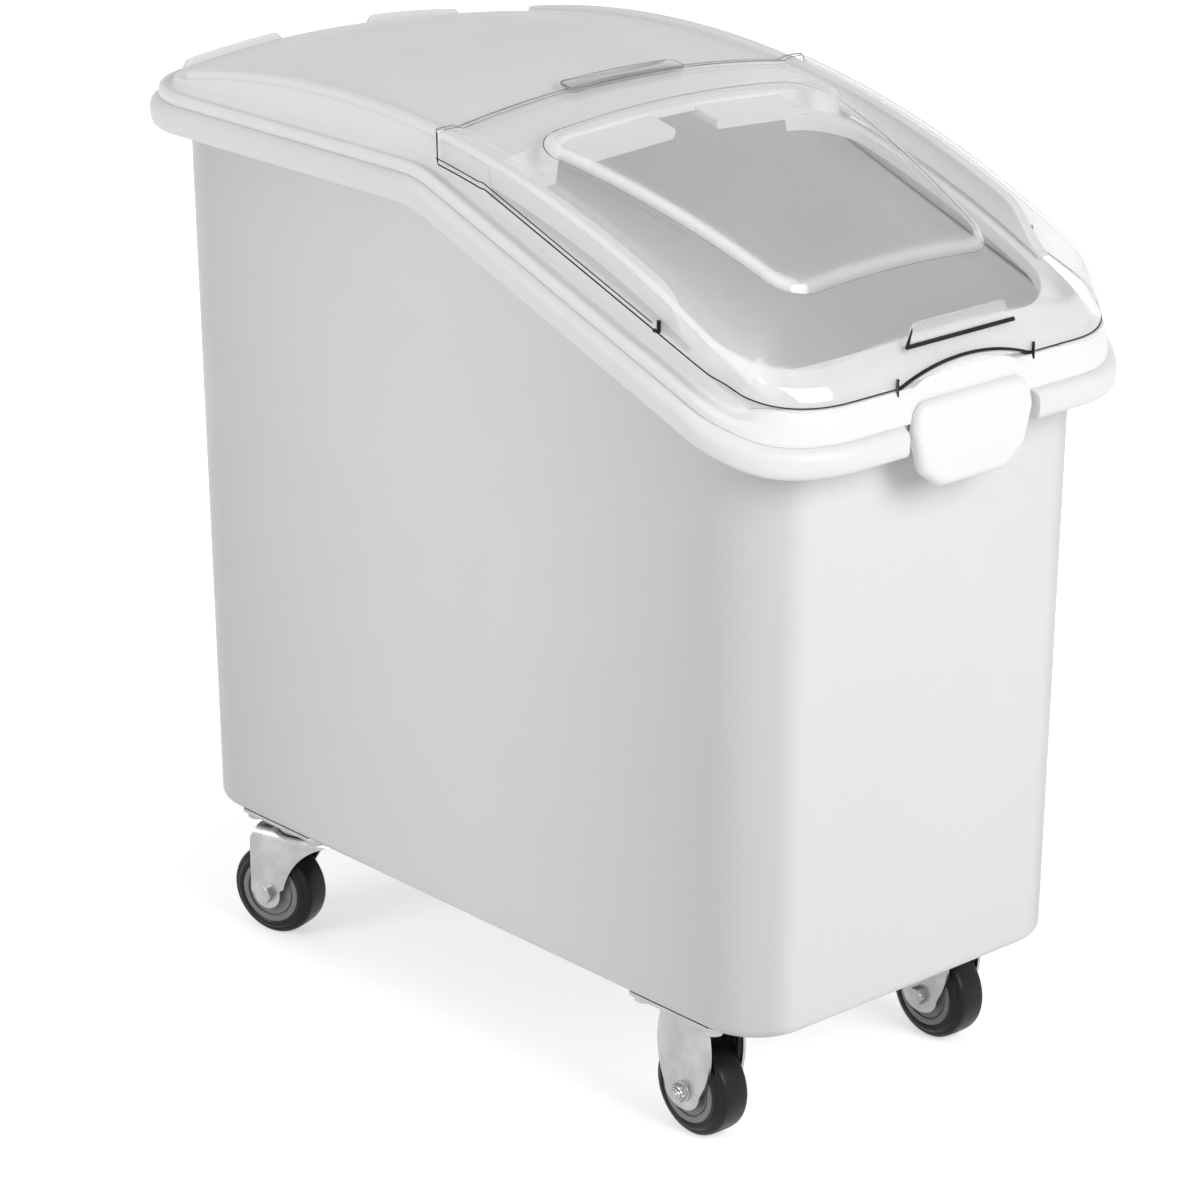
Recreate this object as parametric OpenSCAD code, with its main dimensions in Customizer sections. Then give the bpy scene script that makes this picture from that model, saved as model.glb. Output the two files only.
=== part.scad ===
// Rolling flour bin: a sloped-front food bin on four casters, closed by a white lid frame
// with a fixed rear dome and a clear cover that slides back over the dome.
// Millimetres, +Z up, the front with the grip plate faces -Y, wheels stand on Z = 0.

/* [Bin] */
// width over the rolled lip
bin_w = 398.8; // [380:0.2:420]
// length over the rolled lip
bin_l = 752.4; // [720:0.2:780]
// height of the lip's top at the rear
rim_z = 696.9; // [670:0.1:720]
// how far the foot stands back from the lip at each side
foot_side = 35.4; // [30:0.1:42]
// how far the foot stands back from the lip at the front
foot_front = 47.5; // [40:0.1:60]
// how far the foot stands back from the lip at the rear
foot_rear = 43.4; // [35:0.1:55]
// side draft of each long wall per millimetre of height
wall_draft = 0.0157; // [0.005:0.0001:0.025]
// corner radius of the bin at its foot
foot_r = 48; // [40:1:60]
// wall thickness of the bin
bin_t = 4; // [3:0.5:6]
// thickness of the bin's floor
floor_t = 6; // [5:0.5:8]
// height of the rolled lip
lip_h = 21.3; // [18:0.1:26]
// corner radius of the lip in plan
lip_r = 86.5; // [70:0.5:95]
// height of the mouth rim above the lip
mouth_h = 8; // [4:0.5:8]
// how far the lip's bend from level to sloping lies in front of the dome's crest
bend_in = 115.6; // [98:0.1:118]

/* [Lid frame] */
// how far the lid's band stands in from the lip
lid_in = 7.4; // [6.6:0.1:10]
// height of the lid's lower band
band_h = 9.5; // [8:0.1:9.5]
// width of the shelf between the band's edge and the lid's wall
shelf_w = 12; // [10:0.5:14]
// wall thickness of the lid
lid_t = 3; // [2:0.1:3.5]
// how far the guide rails fall from the dome's crest to the lid's rear wall
rail_fall = 31.6; // [30:0.1:33]
// how far the dome's crest lies in front of the lip's rear
crest_in = 256.3; // [248:0.1:264]
// how far the dome's middle stands above the lip's top
dome_rise = 52.4; // [50:0.1:60]
// how far the dome's middle stands above the guide rails
crown_up = 10; // [8:0.1:11]
// height of the guide rails above the dome's edges
rail_h = 4; // [2:0.1:5]
// width of a guide rail
rail_w = 9; // [6:0.5:12]
// how far a guide rail stands in from the lid's side wall
rail_in = 2; // [1:0.5:3]
// how far the front deck lies below the guide rails
deck_down = 17; // [16:0.5:18]
// how far the dome reaches forward of its crest
dome_len = 183; // [172:1:188]
// how far the two lugs under the cover reach forward of the dome
lug_l = 24; // [10:1:26]
// front edge of the scooping mouth, from the lip's front
mouth_front = 62; // [56:1:70]
// half width of the scooping mouth
mouth_hw = 156; // [140:1:160]
// corner radius of the scooping mouth
mouth_r = 45; // [30:1:55]
// height of the lid's smooth front apron over the lip
apron_h = 25.5; // [24:0.1:25.5]

/* [Sliding cover] */
// wall thickness of the clear cover
cover_t = 2.8; // [2:0.1:3]
// gap between the guide rails and the cover
slide_gap = 0.3; // [0.3:0.05:0.6]
// gap between the dome's middle and the cover
crown_gap = 1.2; // [0.8:0.1:2]
// gap between the lid's side walls and the cover's skirts
side_gap = 2.2; // [1.5:0.1:3]
// height of the cover's lower edge over the lip at the front
cover_up = 26; // [26:0.1:28]
// height of the side skirts' lower edge over the lip
skirt_up = 28; // [28:0.1:29]
// depth of the side skirts below the guide rails at their rear
skirt_h = 21; // [16:0.5:21]
// how far the cover laps over the dome
cover_lap = 55; // [48:1:60]
// rise of the middle panel
panel_up = 7; // [4:0.5:8]
// half width of the middle panel at its rear
panel_rear_hw = 137; // [120:1:145]
// half width of the middle panel at its front
panel_front_hw = 104; // [90:1:115]
// corner radius of the front's rounded top edge
cover_nose = 30; // [24:1:36]

/* [Grip plate] */
// half width of the shield plate at its widest
plate_hw = 60; // [50:1:62]
// height of the shield plate
plate_h = 65; // [56:1:68]
// how far the plate's face stands out of the lip
plate_out = 2; // [0.5:0.5:4]
// how far the plate's top stands over the lip
plate_up = 15; // [13:0.5:17]
// depth of the lip's notch behind the plate
notch_d = 11; // [11:0.5:13]
// thickness of the plate's skin
plate_t = 3; // [2.5:0.1:4]

/* [Casters] */
// wheel diameter
wheel_d = 76.2; // [70:0.2:78]
// width of the wheel at its hub
wheel_w = 32; // [28:1:34]
// width of the tread
tread_w = 22; // [18:1:26]
// thickness of the tyre
tyre_t = 11.6; // [9:0.1:13]
// height of the bin's foot above the ground
caster_h = 108.5; // [106:0.5:116]
// how far the casters stand in from the sides of the foot
caster_in = 38.5; // [37:0.5:44]
// how far the rigid casters stand in from the lip's front
front_in = 141.4; // [136:0.2:152]
// how far the swivel casters stand in from the lip's rear
rear_in = 139.4; // [134:0.2:152]
// how far a swivel wheel trails behind its king pin
trail = 30; // [24:1:32]
// how far the swivel casters are turned in the stored pose
swivel_turn = 18; // [0:1:30]
// thickness of the caster plates
mount_t = 3; // [2.5:0.5:4]
// thickness of the fork legs
leg_t = 2.5; // [2:0.1:3]
// radial clearance of turning fits
run_fit = 0.05; // [0.02:0.01:0.1]

/* [Fasteners] */
// thread diameter of the axle bolts
axle_d = 8; // [6:0.5:10]
// thread diameter of the plate bolts
bolt_d = 8; // [6:0.5:8]
// outer diameter of the moulded-in inserts
insert_d = 11; // [10.5:0.5:13]
// length of the moulded-in inserts
insert_l = 11; // [9:0.5:12]

/* [Hidden] */
$fn = 96;

white = [0.93, 0.93, 0.92];
grey = [0.82, 0.82, 0.81];
clear = [0.86, 0.89, 0.9, 0.45];
zinc = [0.72, 0.73, 0.75];
rubber = [0.09, 0.09, 0.1];
hub_grey = [0.55, 0.56, 0.57];
brass = [0.78, 0.66, 0.38];

// reach of cutting and bounding blocks: across, up, down and past the ends
wide = 1.5 * bin_w;
high = rim_z + bin_w / 2;
low = rim_z - bin_w;
margin = bin_l / 18;

// places along the length, all measured from the middle of the lip
front = -bin_l / 2;
rear = bin_l / 2;
fwd = plate_out / 2;
base_z = caster_h;
lip_hw = bin_w / 2;
foot_hw = lip_hw - foot_side;
caster_x = foot_hw - caster_in;
front_y = front + front_in;
rear_y = rear - rear_in;
crest_y = rear - crest_in;
bend_y = crest_y - bend_in;
dome_front = crest_y - dome_len;
cover_rear = dome_front + cover_lap;
// half widths of the lid's band and wall, and the ends of the wall
band_hw = lip_hw - lid_in;
wall_hw = band_hw - shelf_w;
wall_y0 = front + lid_in + shelf_w - 1;
wall_y1 = rear - lid_in - shelf_w + 1;
wall_r = lip_r - lid_in - 11;

// the pivot line of the cover, far below the bin and parallel to X
bin_h = rim_z + dome_rise;
rail_run = wall_y1 - crest_y;
rail_r = (rail_run * rail_run + rail_fall * rail_fall) / (2 * rail_fall);
pivot_z = bin_h - rail_r - crown_up;
dome_r = rail_r + crown_up;
dome_edge = rail_r - rail_h;
deck_r = rail_r - deck_down;

// half widths of the cover and of the dome's crown
skirt_in = wall_hw + side_gap;
cover_hw = skirt_in + cover_t;
cover_r = wall_r + side_gap + cover_t - 1;
cover_y0 = wall_y0 - side_gap - cover_t - 1;
crown_hw = wall_hw - rail_in - rail_w;
crown_r = (crown_hw * crown_hw + pow(crown_up + rail_h, 2)) / (2 * (crown_up + rail_h));

// the deck's front edge over the lip's line
deck_up = 15;

// the lip's line in side view: level, a soft bend, a straight slope, level again at the front
function arc_z(y, r) = pivot_z + sqrt(r * r - pow(y - crest_y, 2));
front_rim = arc_z(wall_y0, deck_r) - deck_up;
slope_end = front + 26;
soft = 16;
slope = (rim_z - front_rim) / (bend_y - slope_end);
function bend_z(y) = rim_z - slope * pow(soft + bend_y - y, 2) / (4 * soft);
function foot_z(y) = front_rim + slope * pow(soft + y - slope_end, 2) / (4 * soft);
function line_z(y) =
  y >= bend_y + soft ? rim_z :
  y >= bend_y - soft ? bend_z(y) :
  y >= slope_end + soft ? rim_z - slope * (bend_y - y) :
  y >= slope_end - soft ? foot_z(y) : front_rim;
stops = [0, 0.5, 1, 1.5, 2];
line_y = concat(
  [rear + margin],
  [for (k = stops) bend_y + soft - k * soft],
  [for (k = stops) slope_end + soft - k * soft],
  [front - margin]);
function line_up(o) = [for (y = line_y) [y, line_z(y) + o]];
function line_back(o) = [for (i = [len(line_y) - 1 : -1 : 0]) [line_y[i], line_z(line_y[i]) + o]];

// a 2D shape drawn in side view, y across and z up, carried across the width
module side(w = wide) {
  translate([-w / 2, 0, 0]) rotate([90, 0, 90]) linear_extrude(w) children();
}

// the space between two heights over the lip's line
module band(lo, hi) {
  side() polygon(concat(line_up(hi), line_back(lo)));
}

// everything from a low level up to a height over the lip's line
module below(hi) {
  side() polygon(concat(line_up(hi), [[front - margin, -margin], [rear + margin, -margin]]));
}

// everything above a height over the lip's line
module above(lo) {
  side() polygon(concat(line_up(lo), [[front - margin, high], [rear + margin, high]]));
}

// a rectangle in plan with round corners
module plan(hw, y0, y1, r) {
  translate([-hw + r, y0]) square([2 * hw - 2 * r, y1 - y0]);
  translate([-hw, y0 + r]) square([2 * hw, y1 - y0 - 2 * r]);
  for (x = [-hw + r, hw - r]) for (y = [y0 + r, y1 - r]) translate([x, y]) circle(r);
}

module tower(hw, y0, y1, r, z0 = low, z1 = high) {
  translate([0, 0, z0]) linear_extrude(z1 - z0) plan(hw, y0, y1, r);
}

// a convex outline with every corner rounded, corners listed anticlockwise
function edge_out(a, b) = let (d = b - a, l = norm(d)) [d[1] / l, -d[0] / l];
function pick(p, i) = p[(i + len(p)) % len(p)];
function out_at(p, i) = edge_out(pick(p, i), pick(p, i + 1));
function seat_at(p, i, r) = let (a = out_at(p, i - 1), b = out_at(p, i))
  pick(p, i) - (a + b) / (1 + a * b) * r;
function turn_at(p, i) = acos(min(1, out_at(p, i - 1) * out_at(p, i)));
function corner(p, i, r) = let (a = out_at(p, i - 1), t = atan2(a[1], a[0]), d = turn_at(p, i) / 6)
  [for (k = [0 : 6]) seat_at(p, i, r) + r * [cos(t + d * k), sin(t + d * k)]];
module soft_poly(p, r) {
  polygon([for (i = [0 : len(p) - 1]) for (q = corner(p, i, r)) q]);
}

// solids swung about the pivot line: a plain drum and the crowned drum of the dome
module drum(r) {
  translate([0, crest_y, pivot_z]) rotate([0, 90, 0]) cylinder(r = r, h = wide, center = true, $fn = 256);
}
module swing() {
  translate([0, crest_y, pivot_z]) rotate([0, 90, 0]) rotate_extrude($fn = 256) children();
}
module crown(r, hw) {
  intersection() {
    translate([r - crown_r, 0]) circle(crown_r, $fn = 256);
    translate([rail_r - bin_w, -hw]) square([2 * bin_w, 2 * hw]);
  }
}
module slab(y0, y1, hw = wide / 2) {
  translate([-hw, y0, low]) cube([2 * hw, y1 - y0, high - low]);
}

// BIN
// a level slice of the bin's outer form, drawn in by an inset
module slice(z, inset, r) {
  up = z - base_z;
  translate([0, 0, z]) linear_extrude(0.05)
    plan(foot_hw + wall_draft * up - inset, front + foot_front - front_draft * up + inset,
      rear - foot_rear + rear_draft * up - inset, r, $fn = 48);
}
foot_edge = 7;
front_draft = 0.023;
rear_draft = 0.013;
module form(inset, z0, edge, top) {
  hull() {
    for (a = [0 : 22.5 : 90])
      slice(z0 + edge * (1 - cos(a)), inset + edge * (1 - sin(a)), foot_r - inset - edge * (1 - sin(a)));
    slice(top, inset, foot_r + 12 - inset);
  }
}
module lip_roll() {
  for (s = [[0, 5], [0.9, 3.2], [2.2, 1.7], [4, 0.7], [6.5, 0]])
    intersection() {
      band(s[0] - lip_h, -0.6 * s[0]);
      tower(lip_hw - s[1], front + s[1], rear - s[1], lip_r - s[1]);
    }
}
// the notch at the lip's front that the grip plate hangs in
lip_t = 4.2;
notch_hw = plate_hw + 3;
module lip_notch() {
  translate([0, front + notch_d, 0]) rotate([90, 0, 0]) linear_extrude(notch_d + margin)
    translate([-notch_hw, front_rim - 2 * lip_h]) square([2 * notch_hw, 3 * lip_h]);
}
bolt_sx = 24;
bolt_sy = 38;
module at_bolts() {
  for (x = [-caster_x, caster_x]) for (y = [front_y, rear_y])
    for (dx = [-bolt_sx, bolt_sx]) for (dy = [-bolt_sy, bolt_sy])
      translate([x + dx, y + dy, 0]) children();
}
boss_r = insert_d / 2 + 4;
module bin() {
  color(grey) translate([0, fwd, 0]) difference() {
    union() {
      difference() {
        union() {
          difference() {
            lip_roll();
            intersection() {
              band(-lip_h - 2, -lip_t);
              tower(lip_hw - lip_t, front + lip_t, rear - lip_t, lip_r - lip_t);
            }
            lip_notch();
          }
          intersection() {
            form(0, base_z, foot_edge, bin_h);
            below(mouth_h);
          }
        }
        form(bin_t, base_z + floor_t, 12, bin_h + 1);
      }
      at_bolts() translate([0, 0, base_z + floor_t - 1]) cylinder(r = boss_r, h = insert_l - floor_t + 4);
    }
    at_bolts() translate([0, 0, base_z - 1]) cylinder(d = insert_d, h = insert_l + 1);
  }
}
module base_inserts() {
  color(brass) translate([0, fwd, 0]) at_bolts() translate([0, 0, base_z]) difference() {
    cylinder(d = insert_d, h = insert_l);
    translate([0, 0, -1]) cylinder(d = bolt_d + 2 * run_fit, h = insert_l);
  }
}
module hex(af, h) {
  rotate([0, 0, 30]) cylinder(d = af / cos(30), h = h, $fn = 6);
}
module plate_bolts() {
  color(zinc) translate([0, fwd, 0]) at_bolts() {
    translate([0, 0, base_z - mount_t - 5.3]) hex(1.62 * bolt_d, 5.3);
    translate([0, 0, base_z - mount_t - 1]) cylinder(d = bolt_d, h = mount_t + insert_l - 1);
  }
}

// LID FRAME
lug_x = [-65, 65];
lug_hw = 44;
bump_hw = 64;
bump_up = 36;
bump_y = front + lid_in - 0.2;
bump_r = (bump_hw * bump_hw + 17 * 17) / (2 * 17);
module bump_face(inset) {
  intersection() {
    translate([0, front_rim + bump_up - bump_r]) circle(bump_r - inset, $fn = 192);
    translate([-bump_hw + inset, front_rim - bump_up]) square([2 * bump_hw - 2 * inset, 3 * bump_up]);
  }
}
module front_bump(inset, y0, y1, z0) {
  intersection() {
    translate([0, y1, 0]) rotate([90, 0, 0]) linear_extrude(y1 - y0) bump_face(inset);
    above(z0);
  }
}
module lid_top(inset) {
  intersection() {
    tower(wall_hw - inset, wall_y0 + inset, wall_y1 - inset, wall_r - inset);
    union() {
      drum(deck_r - inset);
      intersection() {
        swing() crown(dome_r - inset, wall_hw);
        slab(dome_front + inset, rear);
      }
    }
  }
}
module rails() {
  for (m = [0, 1]) mirror([m, 0, 0]) intersection() {
    translate([crown_hw + rail_w / 2, 0, 0]) slab(dome_front, wall_y1 - wall_r + 2 * rail_h, rail_w / 2);
    difference() {
      drum(rail_r);
      drum(dome_edge - 2);
    }
  }
}
ridge_x = 45;
ridge_l = 95;
ridge_t = 5;
ridge_h = 6;
module ridges() {
  for (m = [0, 1]) mirror([m, 0, 0]) intersection() {
    translate([ridge_x, wall_y1 - 1.6 * ridge_t, low]) cube([ridge_l, ridge_t, high - low]);
    difference() {
      swing() crown(dome_r + ridge_h, wall_hw);
      swing() crown(dome_r - 1, wall_hw);
    }
  }
}
module lugs() {
  for (x = lug_x) intersection() {
    translate([x - lug_hw, dome_front - lug_l, low]) cube([2 * lug_hw, lug_l + 1, high - low]);
    difference() {
      swing() crown(dome_r - 3, wall_hw);
      swing() crown(dome_r - 12, wall_hw);
    }
  }
}
module mouth_ring(grow, r0, r1) {
  intersection() {
    tower(mouth_hw + grow, front + mouth_front - grow, dome_front + grow, mouth_r + grow);
    difference() {
      drum(r1);
      drum(r0);
    }
  }
}
// the smooth face at the front, from the band up to the cover's lower edge, with two notches
apron_in = 4;
apron_end = front + lid_in + 24;
module apron() {
  difference() {
    intersection() {
      tower(band_hw - apron_in, front + lid_in + apron_in, rear, lip_r - lid_in - apron_in);
      slab(front, apron_end);
      band(band_h - lid_t - 0.5, apron_h);
    }
    tower(wall_hw - lid_t, wall_y0 + lid_t, wall_y1 - lid_t, wall_r - lid_t);
    for (m = [0, 1]) mirror([m, 0, 0])
      translate([arch_hw - 1, front, cover_low - hook_down - 1])
        cube([hook_w + 2, shelf_w + lid_in + lid_t + 1, 2 * hook_down]);
  }
}
// the shallow groove between the band and the side walls
groove_w = 7;
groove_h = 2;
module groove() {
  difference() {
    intersection() {
      band(band_h - groove_h, band_h + 1);
      tower(wall_hw + groove_w, apron_end, wall_y1 + groove_w - 2, wall_r + groove_w - 2);
    }
    tower(wall_hw, wall_y0, wall_y1, wall_r);
  }
}
module lid_frame() {
  color(white) translate([0, fwd, 0]) difference() {
    union() {
      for (s = [[0, 1.6], [1, 0.6], [2.4, 0]]) difference() {
        intersection() {
          band(0, band_h - s[0]);
          tower(band_hw - s[1], front + lid_in + s[1], rear - lid_in - s[1], lip_r - lid_in - s[1]);
        }
        intersection() {
          band(-1, band_h - lid_t - 0.5);
          tower(band_hw - lid_t, front + lid_in + lid_t, rear - lid_in - lid_t, lip_r - lid_in - lid_t);
        }
        tower(wall_hw - lid_t, wall_y0 + lid_t, wall_y1 - lid_t, wall_r - lid_t);
        groove();
      }
      difference() {
        intersection() {
          lid_top(0);
          above(band_h - lid_t - 0.5);
        }
        lid_top(lid_t);
      }
      rails();
      ridges();
      lugs();
      mouth_ring(lid_t, deck_r - 11, deck_r - 1);
      difference() {
        front_bump(0, bump_y, wall_y0 + 1, 0);
        front_bump(lid_t, bump_y + lid_t, wall_y0 - 0.5, -5);
      }
      apron();
    }
    mouth_ring(0, deck_r - 40, deck_r + 5);
    at_grip() rotate([90, 0, 0]) {
      translate([0, 0, -1]) cylinder(d = 4.4, h = 2 * lid_t, $fn = 48);
      translate([0, 0, -2 * shelf_w]) cylinder(d = screw_head + 1.5, h = 2 * shelf_w, $fn = 48);
    }
  }
}

// GRIP PLATE
plate_top = front_rim + plate_up;
plate_back = bump_y;
plate_face = front - plate_out;
plate_d = plate_back - plate_face;
screw_head = 7.5;
grip_x = 26;
grip_hw = 0.42 * plate_hw;
module at_grip() {
  for (x = [-grip_x, grip_x]) translate([x, bump_y + lid_t, plate_top - 7.5]) children();
}
shield = [[-0.53 * plate_hw, -plate_h], [0.53 * plate_hw, -plate_h], [0.86 * plate_hw, -0.78 * plate_h],
  [plate_hw, -0.33 * plate_h], [0.9 * plate_hw, 0], [-0.9 * plate_hw, 0], [-plate_hw, -0.33 * plate_h],
  [-0.86 * plate_hw, -0.78 * plate_h]];
function drawn_in(p, d) = [for (i = [0 : len(p) - 1]) seat_at(p, i, d)];
module shield_slab(inset, y0, y1) {
  translate([0, y1, plate_top]) rotate([90, 0, 0]) linear_extrude(y1 - y0)
    soft_poly(drawn_in(shield, inset), 11 - inset);
}
module grip_plate() {
  color(white) translate([0, fwd, 0]) difference() {
    union() {
      difference() {
        union() {
          shield_slab(0, plate_face + 3.4, plate_back);
          shield_slab(0.8, plate_face + 1.6, plate_back);
          shield_slab(2.4, plate_face + 0.5, plate_back);
          shield_slab(4.6, plate_face, plate_back);
        }
        shield_slab(plate_t, plate_face + plate_t, plate_back + 1);
        translate([-grip_hw, plate_face + plate_t, plate_top - plate_h - 5]) cube([2 * grip_hw, plate_h, 15]);
      }
      at_grip() rotate([90, 0, 0]) translate([0, 0, lid_t]) cylinder(d = 10, h = plate_d - 1);
      for (x = [-grip_hw - 3, grip_hw + 1]) translate([x, plate_face + 1, plate_top - plate_h + 6])
        cube([2, plate_d - 2.5, 26]);
    }
    at_grip() rotate([90, 0, 0]) translate([0, 0, lid_t - 1]) cylinder(d = 3.5, h = 9, $fn = 48);
  }
}
module grip_screws() {
  color(zinc) translate([0, fwd, 0]) at_grip() rotate([90, 0, 0]) {
    cylinder(d = 3.5 - 2 * run_fit, h = lid_t + 7, $fn = 48);
    translate([0, 0, -2.4]) cylinder(d = screw_head, h = 2.4, $fn = 48);
  }
}

// SLIDING COVER
nose_y = cover_y0 + cover_nose - 1;
nose_c = [nose_y, arc_z(nose_y, dome_r + crown_gap + cover_t + 2 - cover_nose)];
nose_dir = (nose_c - [crest_y, pivot_z]) / norm(nose_c - [crest_y, pivot_z]);
module nose_cut(inset) {
  side() difference() {
    polygon([nose_c, nose_c + 3 * cover_nose * nose_dir, nose_c + cover_nose * [-2.4, 3],
      nose_c - cover_nose * [2.4, 0]]);
    translate(nose_c) circle(cover_nose - inset);
  }
}
panel_r = 26;
panel_y = front + mouth_front + 22;
panel = [[-panel_front_hw, panel_y], [panel_front_hw, panel_y],
  [panel_rear_hw, dome_front], [-panel_rear_hw, dome_front]];
module panel_tower(inset) {
  translate([0, 0, low]) linear_extrude(high - low) soft_poly(drawn_in(panel, inset), panel_r - inset);
}
module cover_form(inset) {
  top = dome_r + crown_gap + cover_t - inset;
  edge = rail_r + slide_gap + cover_t - inset;
  difference() {
    intersection() {
      tower(cover_hw - inset, cover_y0 + inset, cover_rear + 2 * cover_r, cover_r - inset);
      union() {
        swing() crown(top, cover_hw + 5);
        for (m = [0, 1]) mirror([m, 0, 0]) intersection() {
          translate([crown_hw - 3 - cover_t + inset, front - margin, low])
            cube([wide, bin_l + margin, high - low]);
          drum(edge);
        }
        intersection() {
          swing() crown(top + panel_up, cover_hw);
          panel_tower(inset);
        }
      }
    }
    nose_cut(inset);
  }
}
cover_low = front_rim + cover_up;
hook_y = front + 2 * mouth_front;
hook_w = 4;
hook_down = 5;
arch_hw = bump_hw + 3;
deck_gap = 0.6;
corner_y = cover_y0 + cover_r - 14;
module arch() {
  translate([0, cover_y0 + cover_nose, 0]) rotate([90, 0, 0]) linear_extrude(2 * cover_nose) intersection() {
    translate([0, front_rim + bump_up + 2 - bump_r]) circle(bump_r, $fn = 192);
    translate([-arch_hw, front_rim]) square([2 * arch_hw, 2 * bump_up]);
  }
}
module sliding_cover() {
  skirt_r = rail_r - skirt_h;
  color(clear) translate([0, fwd, 0]) {
    difference() {
      cover_form(0);
      cover_form(cover_t);
      slab(cover_rear, rear);
      intersection() {
        below(skirt_up);
        drum(skirt_r);
      }
      intersection() {
        below(skirt_up);
        slab(corner_y, dome_front);
      }
      intersection() {
        below(cover_up);
        slab(front, corner_y);
      }
      intersection() {
        drum(deck_r + deck_gap);
        slab(front, corner_y);
      }
      arch();
    }
    rear_grip();
    front_grip();
    cover_hooks();
  }
}
module rear_grip() {
  top = dome_r + crown_gap + cover_t;
  intersection() {
    translate([0, 0, low]) linear_extrude(high - low) plan(57, cover_rear - 8, cover_rear + 19, 6);
    difference() {
      swing() crown(top + 2, wall_hw);
      swing() crown(top - 0.6, wall_hw);
    }
  }
}
// an upright pull on the nose: a blade that narrows to its soft-cornered top
pull_y = cover_y0 + 6;
pull_t = 3;
pull_root = 53;
pull_tip = 46;
pull_h = 16;
pull_z = nose_c[1] + sqrt(cover_nose * cover_nose - pow(pull_y - nose_y, 2));
module front_grip() {
  translate([0, pull_y + pull_t, pull_z - 3]) rotate([90, 0, 0]) linear_extrude(pull_t)
    soft_poly([[-pull_root, 0], [pull_root, 0], [pull_tip, pull_h + 3], [-pull_tip, pull_h + 3]], 2.5);
}
module cover_hooks() {
  for (m = [0, 1]) mirror([m, 0, 0]) {
    intersection() {
      translate([skirt_in, hook_y, low]) cube([cover_t + 1.5, 8, high - low]);
      band(skirt_up - 0.5, skirt_up + 9);
    }
    translate([arch_hw, cover_y0 - 2.5, cover_low - hook_down]) cube([hook_w, cover_t + 2.5, 14]);
  }
}

// CASTERS
leg_in = wheel_w / 2 + 2.5;
leg_out = leg_in + leg_t;
axle_z = wheel_d / 2;
sleeve_d = axle_d + 4;
ring_r = wheel_d / 2 - tyre_t;
groove_r = ring_r - 6.1;
mount_pts = [[-34, -48], [34, -48], [34, 48], [-34, 48]];
module mount_plate() {
  translate([0, 0, base_z - mount_t]) difference() {
    linear_extrude(mount_t) soft_poly(mount_pts, 7);
    for (x = [-bolt_sx, bolt_sx]) for (y = [-bolt_sy, bolt_sy])
      translate([x, y, -1]) cylinder(d = bolt_d + 0.6, h = mount_t + 2);
  }
}
// a flat leg cut from a 2D outline (y across, z up), one on each side of the wheel
module legs() {
  for (m = [0, 1]) mirror([m, 0, 0]) translate([leg_in, 0, 0]) rotate([90, 0, 90])
    linear_extrude(leg_t) children();
}
leaf_r = 78;
leaf_hw = 27;
leaf_z = 74;
module leaf() {
  difference() {
    union() {
      intersection() {
        translate([leaf_r - leaf_hw, leaf_z]) circle(leaf_r);
        translate([leaf_hw - leaf_r, leaf_z]) circle(leaf_r);
        translate([-leaf_hw, axle_z - 4]) square([2 * leaf_hw, base_z - mount_t - axle_z + 4.5]);
      }
      translate([0, axle_z]) circle(14);
      translate([-14, axle_z]) square([28, 12]);
    }
    translate([0, axle_z]) circle(d = axle_d + 2 * run_fit);
  }
}
module rigid_fork() {
  mount_plate();
  legs() leaf();
}
module rigid_fork_left() {
  color(zinc) translate([-caster_x, front_y + fwd, 0]) rigid_fork();
}
module rigid_fork_right() {
  color(zinc) translate([caster_x, front_y + fwd, 0]) rigid_fork();
}

// the swivel head: a mounting plate with a dished race, a king pin and the turning fork
crown_z = base_z - mount_t - 9;
race_r = 26;
pin_r = 6;
module swivel_mount() {
  mount_plate();
  translate([0, 0, crown_z + 0.3]) difference() {
    union() {
      cylinder(r = race_r, h = 5);
      translate([0, 0, 4]) cylinder(r1 = race_r - 2, r2 = race_r + 4, h = base_z - mount_t - crown_z - 4);
    }
    translate([0, 0, -1]) cylinder(r = pin_r + run_fit, h = base_z - mount_t - crown_z + 0.7);
  }
}
module swivel_mount_left() {
  color(zinc) translate([-caster_x, rear_y + fwd, 0]) swivel_mount();
}
module swivel_mount_right() {
  color(zinc) translate([caster_x, rear_y + fwd, 0]) swivel_mount();
}
module king_pins() {
  color(zinc) for (x = [-caster_x, caster_x]) translate([x, rear_y + fwd, 0]) {
    translate([0, 0, crown_z - leg_t - 0.3])
      cylinder(r = pin_r, h = base_z - mount_t - crown_z + leg_t + 0.3);
    translate([0, 0, crown_z - leg_t - 5.3]) cylinder(r = pin_r + 4, h = 5);
  }
}
arm_back = 17;
arm = [[trail - 10, axle_z - 9], [trail + 10, axle_z - 9], [trail + arm_back, axle_z + 8],
  [trail + arm_back, crown_z - 8],
  [trail + 8, crown_z], [-38, crown_z], [-44, crown_z - 8]];
arm_hollow = 62;
module swivel_leg() {
  difference() {
    soft_poly(arm, 4);
    translate([trail, axle_z]) circle(d = axle_d + 2 * run_fit);
    translate([trail - 15 - arm_hollow, axle_z - 8]) circle(arm_hollow);
  }
}
module swivel_fork() {
  legs() swivel_leg();
  difference() {
    translate([0, 0, crown_z - leg_t]) linear_extrude(leg_t) {
      translate([-leg_out, -38]) square([2 * leg_out, trail + 44]);
      circle(race_r + 3);
    }
    translate([0, 0, crown_z - 10]) cylinder(r = pin_r + run_fit, h = 20);
  }
}
module turned(s) {
  translate([s * caster_x, rear_y + fwd, 0]) rotate([0, 0, swivel_turn]) children();
}
module swivel_fork_left() {
  color(zinc) turned(-1) swivel_fork();
}
module swivel_fork_right() {
  color(zinc) turned(1) swivel_fork();
}

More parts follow.
